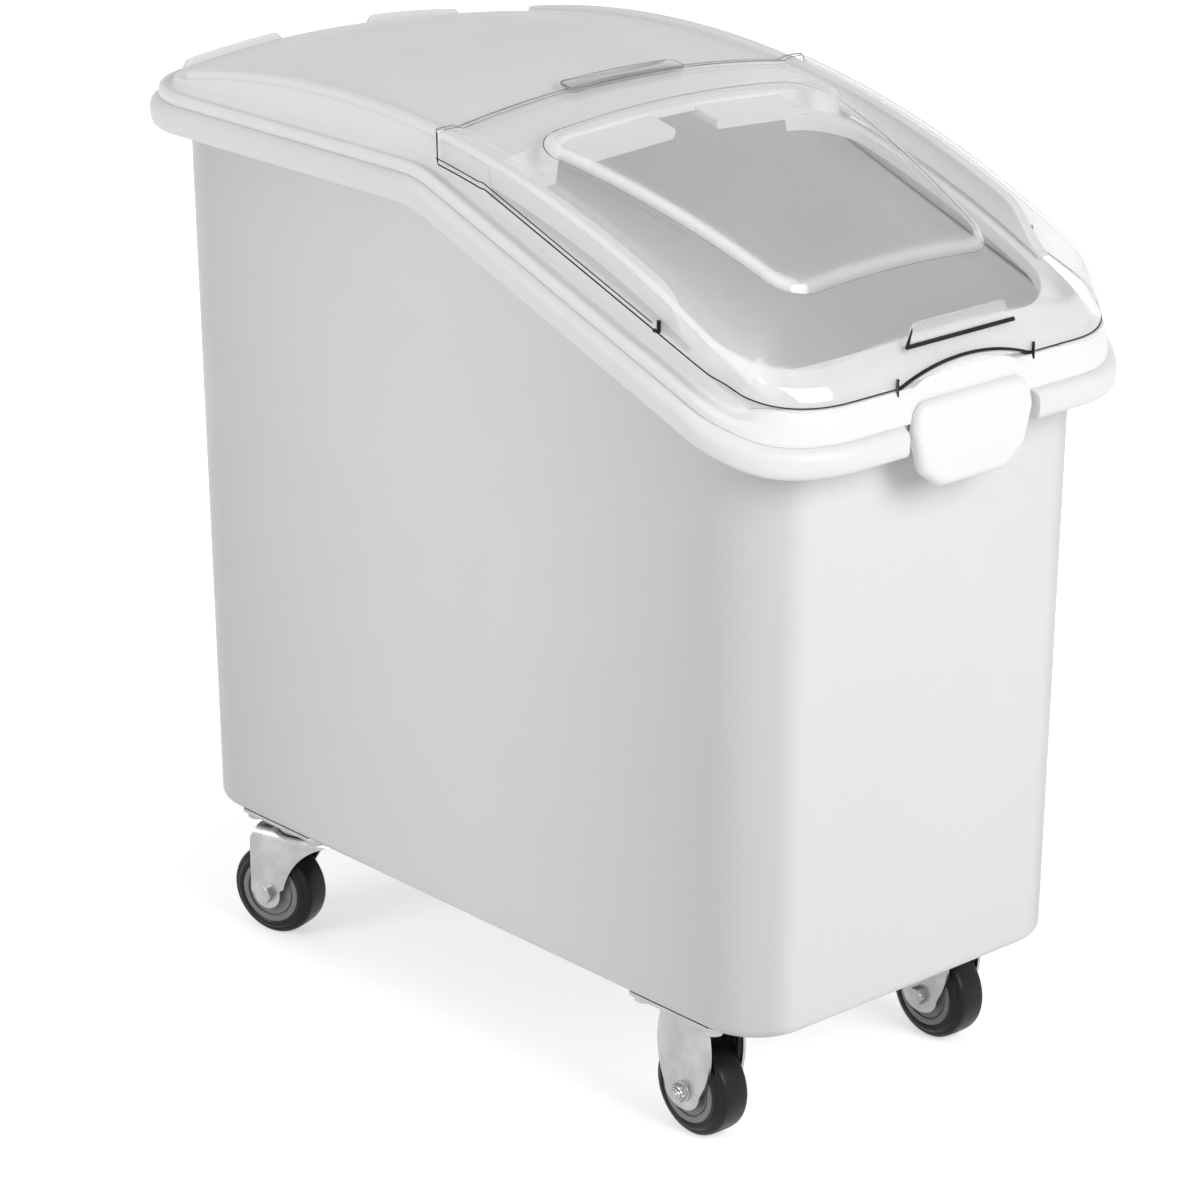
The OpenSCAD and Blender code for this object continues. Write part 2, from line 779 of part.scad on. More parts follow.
// axle parts lie along X through the point given
module axle() {
  rotate([0, 90, 0]) translate([0, 0, -leg_out - 5.3]) {
    cylinder(d = axle_d, h = 2 * leg_out + 5.3 + 9);
    hex(1.62 * axle_d, 5.3);
  }
}
module sleeve() {
  rotate([0, 90, 0]) translate([0, 0, -leg_in]) difference() {
    cylinder(d = sleeve_d, h = 2 * leg_in);
    translate([0, 0, -1]) cylinder(d = axle_d + 2 * run_fit, h = 2 * leg_in + 2);
  }
}
module nut() {
  rotate([0, 90, 0]) translate([0, 0, leg_out]) difference() {
    union() {
      hex(1.62 * axle_d, 6);
      cylinder(d = 1.4 * axle_d, h = 8);
      cylinder(d = 2.1 * axle_d, h = 1);
    }
    translate([0, 0, -1]) cylinder(d = axle_d + 2 * run_fit, h = 12);
  }
}
module tyre() {
  rotate([0, 90, 0]) rotate_extrude() polygon([[ring_r, -wheel_w / 2 + 1], [ring_r + 1.5, -wheel_w / 2],
    [ring_r + 3.5, -wheel_w / 2], [wheel_d / 2 - 3, -tread_w / 2 - 1.6], [wheel_d / 2 - 0.8, -tread_w / 2],
    [wheel_d / 2, -tread_w / 2 + 2.4], [wheel_d / 2, tread_w / 2 - 2.4], [wheel_d / 2 - 0.8, tread_w / 2],
    [wheel_d / 2 - 3, tread_w / 2 + 1.6], [ring_r + 3.5, wheel_w / 2], [ring_r + 1.5, wheel_w / 2],
    [ring_r, wheel_w / 2 - 1]]);
}
module hub() {
  hw = wheel_w / 2;
  rotate([0, 90, 0]) rotate_extrude() polygon([[sleeve_d / 2 + run_fit, -hw - 1.5],
    [sleeve_d / 2 + 4, -hw - 1.5], [sleeve_d / 2 + 5, -hw + 1], [groove_r - 0.4, -hw + 1],
    [groove_r, -hw + 2.6], [groove_r + 1, -hw + 2.6], [groove_r + 1.4, -hw + 0.3], [ring_r - 1.5, -hw + 0.3],
    [ring_r, -hw + 1], [ring_r, hw - 1], [ring_r - 1.5, hw - 0.3], [groove_r + 1.4, hw - 0.3],
    [groove_r + 1, hw - 2.6], [groove_r, hw - 2.6], [groove_r - 0.4, hw - 1],
    [sleeve_d / 2 + 5, hw - 1], [sleeve_d / 2 + 4, hw + 1.5], [sleeve_d / 2 + run_fit, hw + 1.5]]);
}
module front_at(s) {
  translate([s * caster_x, front_y + fwd, axle_z]) children();
}
module rear_at(s) {
  turned(s) translate([0, trail, axle_z]) children();
}
// the front axles show their nuts on the outside, the left rear axle its head
module front_pair() {
  front_at(-1) mirror([1, 0, 0]) children();
  front_at(1) children();
}
module front_axles() { color(zinc) front_pair() axle(); }
module front_sleeves() { color(zinc) front_pair() sleeve(); }
module front_nuts() { color(zinc) front_pair() nut(); }
module rear_axle_left() { color(zinc) rear_at(-1) axle(); }
module rear_axle_right() { color(zinc) rear_at(1) mirror([1, 0, 0]) axle(); }
module rear_sleeve_left() { color(zinc) rear_at(-1) sleeve(); }
module rear_sleeve_right() { color(zinc) rear_at(1) sleeve(); }
module rear_nut_left() { color(zinc) rear_at(-1) nut(); }
module rear_nut_right() { color(zinc) rear_at(1) mirror([1, 0, 0]) nut(); }
module tyre_front_left() { color(rubber) front_at(-1) tyre(); }
module tyre_front_right() { color(rubber) front_at(1) tyre(); }
module tyre_rear_left() { color(rubber) rear_at(-1) tyre(); }
module tyre_rear_right() { color(rubber) rear_at(1) tyre(); }
module hub_front_left() { color(hub_grey) front_at(-1) hub(); }
module hub_front_right() { color(hub_grey) front_at(1) hub(); }
module hub_rear_left() { color(hub_grey) rear_at(-1) hub(); }
module hub_rear_right() { color(hub_grey) rear_at(1) hub(); }

bin();
base_inserts();
plate_bolts();
lid_frame();
grip_plate();
grip_screws();
sliding_cover();
rigid_fork_left();
rigid_fork_right();
front_axles();
front_sleeves();
front_nuts();
swivel_mount_left();
swivel_mount_right();
king_pins();
swivel_fork_left();
swivel_fork_right();
rear_axle_left();
rear_axle_right();
rear_sleeve_left();
rear_sleeve_right();
rear_nut_left();
rear_nut_right();
tyre_front_left();
tyre_front_right();
tyre_rear_left();
tyre_rear_right();
hub_front_left();
hub_front_right();
hub_rear_left();
hub_rear_right();
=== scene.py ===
"""Looks of a rolling flour bin: a sloped food bin on casters with a white lid and a clear sliding cover.

Shapes are worked out in millimetres, +Z up, the front towards -Y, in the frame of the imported
parts, and turned to metres when a mesh is made.
"""
import logging
import math
from dataclasses import dataclass, field
from enum import Enum
from typing import Sequence

import bpy
import numpy as np
from mathutils import Matrix, Vector


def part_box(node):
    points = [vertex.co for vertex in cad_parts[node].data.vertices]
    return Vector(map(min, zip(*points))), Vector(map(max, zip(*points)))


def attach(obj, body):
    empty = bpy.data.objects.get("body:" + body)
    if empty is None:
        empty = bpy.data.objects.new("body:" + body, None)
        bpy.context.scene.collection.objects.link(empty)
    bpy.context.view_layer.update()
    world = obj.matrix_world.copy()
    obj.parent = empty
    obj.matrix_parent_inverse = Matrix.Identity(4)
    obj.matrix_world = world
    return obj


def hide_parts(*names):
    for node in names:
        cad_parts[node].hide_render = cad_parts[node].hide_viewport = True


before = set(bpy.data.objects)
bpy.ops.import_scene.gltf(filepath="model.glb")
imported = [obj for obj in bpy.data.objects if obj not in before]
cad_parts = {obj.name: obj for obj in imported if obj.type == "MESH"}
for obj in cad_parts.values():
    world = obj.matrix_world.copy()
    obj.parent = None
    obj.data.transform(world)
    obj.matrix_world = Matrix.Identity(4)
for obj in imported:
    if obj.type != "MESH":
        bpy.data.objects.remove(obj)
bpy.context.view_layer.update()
MM = 0.001
LOG = logging.getLogger("flour_bin")
# A length that keeps a division from failing, and how near counts as on a line.
TINY = 1e-9
NEAR = 1e-6
Array = np.ndarray
Pair = tuple[Array, Array]
Triple = tuple[float, float, float]
Socket = bpy.types.NodeSocket


class Slot(Enum):
    """Material slots of the record."""
    # Material slots.

    BIN = "bin_shell"
    LID = "lid_white"
    COVER = "cover_clear"
    ZINC = "zinc"
    TREAD = "tread"
    HUB = "hub"
    BRASS = "insert_brass"


class Side(Enum):
    """Left and right, with the sign of X."""

    LEFT = -1
    RIGHT = 1

    @property
    def word(self) -> str:
        """The side's name as the parts use it."""
        return self.name.lower()


def smooth(low: Array, high: Array, value: Array) -> Array:
    """A soft step, 3t^2 - 2t^3, from 0 where value is low to 1 where it is high."""
    t = np.clip((value - low) / (high - low), 0.0, 1.0)
    return t * t * (3 - 2 * t)


def blend(start: Array, end: Array, share: Array) -> Array:
    """Start where share is 0, end where it is 1, and a mix between."""
    return start * (1 - share) + end * share


def even(count: int) -> Array:
    """Evenly spread shares from 0, without 1."""
    return np.linspace(0, 1, count, endpoint=False)


def quarter(count: int) -> Array:
    """Angles over a quarter turn, with both ends."""
    return np.linspace(0, np.pi / 2, count)


def around(count: int) -> Array:
    """Angles all round, without the last."""
    return np.linspace(0, 2 * np.pi, count, endpoint=False)


def column(*values: float) -> Array:
    """Numbers as a column, one per ring."""
    return np.array(values, float)[:, None]


def ring_rows(x: Array, y: Array, z: Array) -> Array:
    """Stacks x, y and z of equal or spreading shapes into points."""
    return np.stack(np.broadcast_arrays(x, y, z), -1)


def box_mm(node: str) -> Pair:
    """Lowest and highest corners of a CAD node in millimetres."""
    low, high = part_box(node)
    return np.array(low) / MM, np.array(high) / MM


def put_in_scene(name: str, data: bpy.types.ID) -> bpy.types.Object:
    """A new object of that data, linked to the scene."""
    obj = bpy.data.objects.new(name, data)
    bpy.context.scene.collection.objects.link(obj)
    return obj


@dataclass(frozen=True)
class Outline:
    """Samples round a rectangle with four round corners, anticlockwise from the front's left end.

    A sample is its place between the corner centres (sx from -1 to 1, sy from 0 to 1) and its
    outward direction (nx, ny), so rings of any size share the same samples.
    """

    sx: Array
    sy: Array
    nx: Array
    ny: Array

    @classmethod
    def make(cls, front: Array, corner: int, rear: int, side: Array) -> "Outline":
        """Builds the samples.

        Args:
            front: Shares along the front's straight, rising from 0, without 1.
            corner: Samples on each corner.
            rear: Samples on the rear's straight.
            side: Shares along the right straight, rising from 0, without 1.

        Returns:
            The outline.
        """
        f, r = front, even(rear)
        a = np.linspace(0, np.pi / 2, corner, endpoint=False)
        s, c = np.sin(a), np.cos(a)
        one, nil = np.ones(corner), np.zeros(corner)
        left = np.concatenate([[1.0], side[:0:-1]])
        flat, none = np.ones_like(side), np.zeros_like(side)
        sx = [2 * f - 1, one, flat, one, 1 - 2 * r, -one, -flat, -one]
        sy = [0 * f, nil, side, one, 0 * r + 1, one, left, nil]
        nx = [0 * f, s, flat, c, 0 * r, -s, -flat, -c]
        ny = [0 * f - 1, -c, none, s, 0 * r + 1, c, none, -s]
        return cls(*(np.concatenate(v) for v in (sx, sy, nx, ny)))

    @property
    def at_front(self) -> Array:
        """Which samples lie on the front's straight."""
        return self.ny < -0.99

    def ring(self, hw: Array, y0: Array, y1: Array, r: Array, r_rear: Array | None = None) -> Pair:
        """Points of rings: the corner centre's share plus the corner radius times the outward direction.

        Args:
            hw: Half widths, a number or an array that spreads over the samples.
            y0: Fronts.
            y1: Rears.
            r: Corner radii at the front.
            r_rear: Corner radii at the rear, if they differ.

        Returns:
            The x and y of each sample.
        """
        back = r if r_rear is None else r_rear
        round_r = blend(r, back, self.sy)
        x = (hw - round_r) * self.sx + round_r * self.nx
        return x, blend(y0 + r, y1 - back, self.sy) + round_r * self.ny


def signed_volume(points: Array, faces: Sequence[Array]) -> float:
    """Volume inside closed faces, from fans of triangles; negative where they face inwards."""
    total = 0.0
    for f in faces:
        p = points[f]
        total += np.einsum("ij,ikj->", p[:, 0], np.cross(p[:, 1:-1], p[:, 2:])) / 6
    return float(total)


@dataclass
class Shell:
    """One piece of the model, gathered from closed grids of rings."""

    name: str
    points: list[Array] = field(default_factory=list)
    faces: list[Array] = field(default_factory=list)
    marks: list[Array] = field(default_factory=list)
    count: int = 0

    def grid(self, rows: Array, loop: bool = False, mark: Array | float = 0.0) -> None:
        """Adds a closed grid of rings.

        Args:
            rows: Points, ring by ring, of shape (rings, samples, 3); samples run round and close.
            loop: Whether the last ring joins the first; otherwise both end rings get a flat cap.
            mark: A value from -1 to 1 at each point, which a finish may use to paint light and shade.
        """
        v, n, _ = rows.shape
        index = np.arange(v * n).reshape(v, n)
        lower = index if loop else index[:-1]
        upper = np.roll(index, -1, axis=0) if loop else index[1:]
        quads = np.stack([lower, np.roll(lower, -1, 1), np.roll(upper, -1, 1), upper], -1).reshape(-1, 4)
        faces = [quads] if loop else [quads, index[:1, ::-1], index[-1:]]
        flat = rows.reshape(-1, 3)
        if signed_volume(flat, faces) < 0:
            faces = [f[:, ::-1] for f in faces]
        self.points.append(flat)
        self.marks.append(np.broadcast_to(mark, (v, n)).ravel())
        self.faces += [f + self.count for f in faces]
        self.count += v * n

    def add(self, *grids: Array, loop: bool = False) -> "Shell":
        """Adds unmarked grids and returns the shell."""
        for rows in grids:
            self.grid(rows, loop)
        return self

    def build(self, finish: "Finish", body: str, nodes: Sequence[str] = (), sharp: float = 38.0) -> None:
        """Makes the mesh, dresses it and sets it on its body.

        Args:
            finish: What it is made of.
            body: The body that it rides on.
            nodes: The CAD nodes that it stands for.
            sharp: Angle in degrees from which an edge shades as sharp.
        """
        mesh = bpy.data.meshes.new(self.name)
        co = np.concatenate(self.points) * MM
        loops = np.concatenate([f.ravel() for f in self.faces]).astype(np.int32)
        sizes = np.concatenate([np.full(len(f), f.shape[1]) for f in self.faces])
        starts = np.concatenate([[0], np.cumsum(sizes)[:-1]]).astype(np.int32)
        mesh.vertices.add(len(co))
        mesh.vertices.foreach_set("co", co.ravel().astype(np.float32))
        mesh.loops.add(len(loops))
        mesh.loops.foreach_set("vertex_index", loops)
        mesh.polygons.add(len(sizes))
        mesh.polygons.foreach_set("loop_start", starts)
        mesh.update(calc_edges=True)
        mesh.validate()
        marks = np.concatenate(self.marks).astype(np.float32)
        if marks.any():
            mesh.attributes.new("mark", "FLOAT", "POINT").data.foreach_set("value", marks)
        mesh.polygons.foreach_set("use_smooth", np.ones(len(mesh.polygons), bool))
        mesh.set_sharp_from_angle(angle=math.radians(sharp))
        obj = put_in_scene(self.name, mesh)
        mesh.materials.append(finish.material())
        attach(obj, body)
        if nodes:
            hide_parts(*nodes)
        LOG.info("%s: %d faces on %s", self.name, len(mesh.polygons), body)


class Nodes:
    """A short way to write the nodes of a material or a world."""

    def __init__(self, owner: bpy.types.ID) -> None:
        """Starts the owner's node tree empty."""
        self.owner = owner
        owner.use_nodes = True
        self.tree = owner.node_tree
        self.tree.nodes.clear()

    def add(self, kind: str, *sockets: object, **inputs: object) -> bpy.types.Node:
        """Adds a node.

        Args:
            kind: Node type without its ShaderNode prefix.
            *sockets: Values, or outputs to link, for the inputs in order.
            **inputs: The same by name, blanks as underscores; a key that is no input is a property.

        Returns:
            The node.
        """
        node = self.tree.nodes.new("ShaderNode" + kind)
        named = []
        for key, value in inputs.items():
            name = key.replace("_", " ")
            socket = next((s for s in node.inputs if s.name == name and s.enabled), None)
            if socket is None:
                setattr(node, key, value)
            else:
                named.append((socket, value))
        for socket, value in (*zip(node.inputs, sockets), *named):
            if isinstance(value, Socket):
                self.tree.links.new(value, socket)
            else:
                socket.default_value = value
        return node

    def math(self, operation: str, *sockets: object, **more: object) -> Socket:
        """The outcome of an operation on one or two values."""
        return self.add("Math", *sockets, operation=operation, **more).outputs[0]

    def noise(self, scale: float, detail: float = 4.0, stretch: Triple = (1, 1, 1)) -> Socket:
        """A noise on object coordinates, in cycles per metre; stretch shrinks it along an axis."""
        coords = self.add("TexCoord").outputs["Object"]
        place = self.add("Mapping", Vector=coords, Scale=stretch)
        return self.add("TexNoise", Vector=place.outputs[0], Scale=scale, Detail=detail).outputs["Fac"]

    def spread(
        self, value: Socket, low: float, high: float, start: float = 0.0, end: float = 1.0, **more: object,
    ) -> Socket:
        """Spreads a value from start to end over low to high."""
        limits = {"From_Min": start, "From_Max": end, "To_Min": low, "To_Max": high}
        return self.add("MapRange", **more, Value=value, **limits).outputs[0]

    def drift(self, scale: float, detail: float, low: float = 0.0, high: float = 1.0) -> Socket:
        """A noise whose middle, 0.3 to 0.7, is spread over low to high."""
        return self.spread(self.noise(scale, detail), low, high, 0.3, 0.7)

    def tint(self, value: Socket, dark: Triple, light: Triple) -> Socket:
        """A colour between dark and light by a value from 0 to 1."""
        mix = self.add("Mix", value, data_type="RGBA")
        mix.inputs[6].default_value = (*dark, 1)
        mix.inputs[7].default_value = (*light, 1)
        return mix.outputs[2]

    def bump(self, height: Socket, strength: float, distance: float, **more: object) -> Socket:
        """A bump of that distance in metres."""
        return self.add("Bump", Height=height, Strength=strength, Distance=distance, **more).outputs[0]

    def mark(self) -> Socket:
        """The mesh's own value at each point."""
        return self.add("Attribute", attribute_name="mark").outputs["Fac"]

    def mix(self, share: Socket, first: bpy.types.Node, second: bpy.types.Node) -> bpy.types.Node:
        """Mixes two shaders by a share of the second."""
        return self.add("MixShader", share, first.outputs[0], second.outputs[0])

    def seen(self) -> Socket:
        """One where the camera looks, straight, in a gloss or through glass, and nought for other light."""
        path = self.add("LightPath").outputs
        either = self.math("MAXIMUM", path["Is Camera Ray"], path["Is Glossy Ray"])
        return self.math("MAXIMUM", either, path["Is Transmission Ray"])

    def finish(self, shader: bpy.types.Node, kind: str = "OutputMaterial") -> bpy.types.ID:
        """Puts the shader on the surface and returns the owner."""
        self.add(kind, Surface=shader.outputs[0])
        return self.owner


_made: dict[str, bpy.types.Material] = {}


@dataclass(frozen=True)
class Finish:
    """A finish of the object, made once as a material."""

    name: str
    slot: Slot

    def material(self) -> bpy.types.Material:
        """The finish's material, the same one each time."""
        if self.name not in _made:
            n = Nodes(bpy.data.materials.new(self.name))
            _made[self.name] = n.finish(self.shader(n))
        return _made[self.name]

    def shader(self, n: Nodes) -> bpy.types.Node:
        """Builds the material's nodes and returns the last shader."""
        raise NotImplementedError


@dataclass(frozen=True)
class MouldedPlastic(Finish):
    """Moulded plastic: a slow drift of tone, a fine pebble, faint flow marks, and painted shade and light
    where the mesh marks it.
    """

    dark: Triple
    light: Triple
    rough: float
    pebble: float = 900.0
    depth: float = 0.00012
    glow: float = 0.08
    shine: float = 0.5
    flow: float = 0.12
    flow_depth: float = 0.0005
    # How far the mesh's mark paints shade and light into the colour.
    painted_shading: float = 0.0

    def shader(self, n: Nodes) -> bpy.types.Node:
        """Noise tints colour and roughness; two noises bump the surface; the mark paints shade, darker where
        it is positive and lighter where it is negative.
        """
        rough = n.drift(26.0, 4.0, self.rough - 0.05, self.rough + 0.06)
        marks = n.noise(14.0, 3.0, (1, 1, 0.35))
        below = {"Normal": n.bump(marks, self.flow, self.flow_depth)} if self.flow else {}
        normal = n.bump(n.noise(self.pebble, 2.0), 0.3, self.depth, **below)
        colour = n.tint(n.drift(3.5, 5.0), self.dark, self.light)
        # Painted shade and light: the colour is scaled by the mark.
        if self.painted_shading:
            scale = n.add("VectorMath", colour, operation="SCALE")
            level = n.spread(n.mark(), 1 + self.painted_shading, 1 - self.painted_shading, -1.0, 1.0)
            n.tree.links.new(level, scale.inputs["Scale"])
            colour = scale.outputs[0]
        return n.add(
            "BsdfPrincipled", Base_Color=colour, Roughness=rough, Normal=normal, Subsurface_Weight=self.glow,
            Subsurface_Radius=(0.006, 0.006, 0.006), Specular_IOR_Level=self.shine,
        )


@dataclass(frozen=True)
class ClearSheet(Finish):
    """Clear plastic sheet: see-through straight on, glossy and a little pale at a slant, with a painted
    highlight and painted shade where the mesh marks it.
    """

    tint: Triple = (0.995, 0.995, 0.995)
    # Colours of the body: edge paints a pale highlight, and the grey below it paints shade.
    edge: Triple = (0.92, 0.92, 0.92)
    smoke: Triple = (0.3, 0.305, 0.31)
    steepness: float = 5.0

    def shader(self, n: Nodes) -> bpy.types.Node:
        """Mixes a see-through part, a pale body and a gloss.

        Where the mark is positive the body is a painted pale highlight, where it is negative a painted grey
        shade;
        its share is the mark's size plus a little by a power of the slant. The gloss's share goes by that
        power too.
        """
        mark = n.mark()
        clear = n.add("BsdfTransparent", Color=(*self.tint, 1))
        in_shade = n.math("LESS_THAN", mark, 0.0)
        body = n.add("BsdfDiffuse", Color=n.tint(in_shade, self.edge, self.smoke))
        gloss = n.add("BsdfGlossy", Color=(1, 1, 1, 1), Roughness=n.drift(40.0, 2.0, 0.03, 0.06))
        slant = n.add("LayerWeight", Blend=0.5).outputs["Facing"]
        steep = n.math("POWER", slant, self.steepness)
        # Painted highlight and shade: the body's share grows with the mark's size.
        pale = n.math("ADD", n.spread(steep, 0.005, 0.3), n.math("ABSOLUTE", mark), use_clamp=True)
        return n.mix(n.spread(steep, 0.035, 0.8), n.mix(pale, clear, body), gloss)


@dataclass(frozen=True)
class PaintedEdgeShade(Finish):
    """Dark cords painted along a clear sheet's edges in place of the dark lines that refraction draws there
    and the shadow under the pull, a little uneven in depth.
    """

    dark: Triple = (0.004, 0.004, 0.0045)
    light: Triple = (0.016, 0.016, 0.0165)

    def shader(self, n: Nodes) -> bpy.types.Node:
        """Noise tints the line, which has a dull shine."""
        colour = n.tint(n.drift(45.0, 3.0), self.dark, self.light)
        return n.add("BsdfPrincipled", Base_Color=colour, Roughness=0.5, Specular_IOR_Level=0.15)


@dataclass(frozen=True)
class PlatedSteel(Finish):
    """Plated metal: soft blotches and streaks along Z."""

    dark: Triple = (0.37, 0.375, 0.385)
    light: Triple = (0.48, 0.485, 0.495)
    rough: float = 0.3

    def shader(self, n: Nodes) -> bpy.types.Node:
        """Blotches tint the metal; streaks set roughness and bump."""
        colour = n.tint(n.drift(55.0, 5.0), self.dark, self.light)
        streak = n.noise(420.0, 3.0, (1, 1, 0.12))
        rough = n.spread(streak, self.rough - 0.07, self.rough + 0.1, 0.3, 0.7)
        normal = n.bump(streak, 0.15, 0.0002)
        return n.add("BsdfPrincipled", Base_Color=colour, Roughness=rough, Normal=normal, Metallic=1.0)


@dataclass(frozen=True)
class Rubber(Finish):
    """Black tyre rubber with a little dust."""

    dark: Triple = (0.002, 0.002, 0.0022)
    light: Triple = (0.006, 0.006, 0.0063)
    rough: float = 0.36

    def shader(self, n: Nodes) -> bpy.types.Node:
        """Noise dusts the colour and the roughness; a fine grain bumps it."""
        colour = n.tint(n.drift(40.0, 6.0), self.dark, self.light)
        rough = n.drift(130.0, 4.0, self.rough - 0.08, self.rough + 0.12)
        normal = n.bump(n.noise(1500.0, 2.0), 0.2, 0.0001)
        look = {"Base_Color": colour, "Roughness": rough, "Normal": normal, "Specular_IOR_Level": 0.25}
        return n.add("BsdfPrincipled", **look)


def grey(level: float, blue: float = 0.0) -> Triple:
    """A grey of that level with a little more blue."""
    return level, level, level + blue


# Both plastics take painted shade and light from their meshes' marks.
BIN_PLASTIC = MouldedPlastic("bin_plastic", Slot.BIN, grey(0.69), grey(0.71), 0.42, flow=0.05, painted_shading=0.22)
LID_PLASTIC = MouldedPlastic(
    "lid_plastic", Slot.LID, grey(0.795), grey(0.81), 0.36, depth=0.0001, flow=0.0, glow=0.0, painted_shading=0.13,
)
COVER_CLEAR = ClearSheet("cover_clear_sheet", Slot.COVER)
# Cords painted dark and grey in place of the clear sheet's refraction lines and shadows.
EDGE_SHADE = PaintedEdgeShade("cover_edge_painted_shade", Slot.COVER)
EDGE_GREY_SHADE = PaintedEdgeShade("cover_edge_painted_grey", Slot.COVER, grey(0.16, 0.005), grey(0.3, 0.005))
ZINC = PlatedSteel("zinc_plate", Slot.ZINC)
BRIGHT_ZINC = PlatedSteel("bright_fastener", Slot.ZINC, (0.33, 0.335, 0.34), (0.5, 0.505, 0.51), 0.34)
TYRE_RUBBER = Rubber("tyre_rubber", Slot.TREAD)
HUB_PLASTIC = MouldedPlastic("hub_plastic", Slot.HUB, grey(0.17, 0.003), grey(0.21, 0.003), 0.46, glow=0.0)
BRASS = PlatedSteel("insert_metal", Slot.BRASS, (0.62, 0.47, 0.2), (0.8, 0.64, 0.33), 0.3)


@dataclass(frozen=True)
class Form:
    """Shared sizes of bin, lid and cover in millimetres, and the lines that they follow."""

    hw: float
    front: float
    rear: float
    foot_z: float
    rim_z: float = 696.9
    lip_r: float = 86.5
    lid_in: float = 7.4
    shelf_w: float = 12.0
    crest_in: float = 256.3
    bend_in: float = 115.6
    slope_in: float = 26.0
    dome_len: float = 183.0
    dome_rise: float = 52.4
    crown_up: float = 10.0
    rail_h: float = 4.0
    rail_w: float = 9.0
    rail_in: float = 2.0
    rail_fall: float = 31.6
    deck_down: float = 17.0
    deck_up: float = 15.0
    notch_hw: float = 63.0
    notch_d: float = 11.0
    bump_hw: float = 64.0
    bump_up: float = 36.0
    arch_rise: float = 17.0
    soft: float = 16.0

    @classmethod
    def from_frame(cls) -> "Form":
        """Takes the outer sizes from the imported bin."""
        low, high = box_mm("bin")
        return cls(hw=float(high[0]), front=float(low[1]), rear=float(high[1]), foot_z=float(low[2]))

    @property
    def crest_y(self) -> float:
        """Where the dome is highest."""
        return self.rear - self.crest_in

    @property
    def dome_front(self) -> float:
        """The dome's front edge."""
        return self.crest_y - self.dome_len

    @property
    def wall_hw(self) -> float:
        """Half width of the lid's wall."""
        return self.hw - self.lid_in - self.shelf_w

    @property
    def wall_y(self) -> tuple[float, float]:
        """Front and rear of the lid's wall."""
        inset = self.lid_in + self.shelf_w - 1
        return self.front + inset, self.rear - inset

    @property
    def wall_r(self) -> float:
        """Corner radius of the lid's wall."""
        return self.lip_r - self.lid_in - self.shelf_w + 1

    @property
    def rail_r(self) -> float:
        """Radius of the rails' top about the pivot line."""
        run = self.wall_y[1] - self.crest_y
        return (run * run + self.rail_fall ** 2) / (2 * self.rail_fall)

    @property
    def pivot_z(self) -> float:
        """Height of the pivot line."""
        return self.rim_z + self.dome_rise - self.crown_up - self.rail_r

    @property
    def rail_x(self) -> float:
        """Inner side of the rails."""
        return self.wall_hw - self.rail_in - self.rail_w

    @property
    def crown_r(self) -> float:
        """Radius of the crown across the dome."""
        rise = self.crown_up + self.rail_h
        return (self.rail_x ** 2 + rise * rise) / (2 * rise)

    @property
    def deck_r(self) -> float:
        """Radius of the front deck about the pivot line."""
        return self.rail_r - self.deck_down

    @property
    def front_rim(self) -> float:
        """Height of the lip's top at the front."""
        return float(self.arc_z(self.wall_y[0], self.deck_r)) - self.deck_up

    def arc_z(self, y: Array, r: Array) -> Array:
        """Height at y of a circle of radius r about the pivot line."""
        return self.pivot_z + np.sqrt(np.square(r) - np.square(y - self.crest_y))

    def crown(self, x: Array, top: float) -> Array:
        """Radius at x of a crowned surface whose middle has radius top."""
        return top - self.crown_r + np.sqrt(self.crown_r ** 2 - np.square(x))

    def dome_z(self, x: Array, y: Array) -> Array:
        """Height of the dome."""
        return self.arc_z(y, self.crown(x, self.rail_r + self.crown_up))

    def line_z(self, y: Array) -> Array:
        """Height of the lip's top: level, a soft bend, a straight slope, a soft foot, level."""
        start, end = self.front + self.slope_in, self.crest_y - self.bend_in
        slope = (self.rim_z - self.front_rim) / (end - start)

        def climb(middle: float) -> Array:
            """How far a slope has risen that starts softly round a middle."""
            past = np.clip(y - (middle - self.soft), 0, None)
            return np.where(past < 2 * self.soft, past ** 2 / (4 * self.soft), past - self.soft) * slope

        return self.front_rim + climb(start) - climb(end)


# The lip's section, ring by ring: down inside the roll, round its foot, up and over its top.
LIP_IN = column(7.4, 7.4, 6.9, 5.8, 4.4, 2.9, 1.6, 0.7, 0.15, 0, 0, 0.2, 0.9, 2.1, 3.9, 6.2, 9.0, 15.0)
LIP_UP = column(
    -5.0, -18.0, -19.8, -21.0, -21.3, -20.8, -19.6, -17.7, -15.0,
    -12.0, -9.0, -6.6, -4.2, -2.3, -0.9, -0.2, 0, 0,
)
# Shares along the front's straight where the lip's notch ends.
NOTCH_END = np.linspace(0.205, 0.235, 13)


def notched(count: int) -> Array:
    """Even shares of the front's straight, closer together at both ends of the lip's notch."""
    return np.unique(np.round(np.concatenate([even(count), NOTCH_END, 1 - NOTCH_END]), 6))


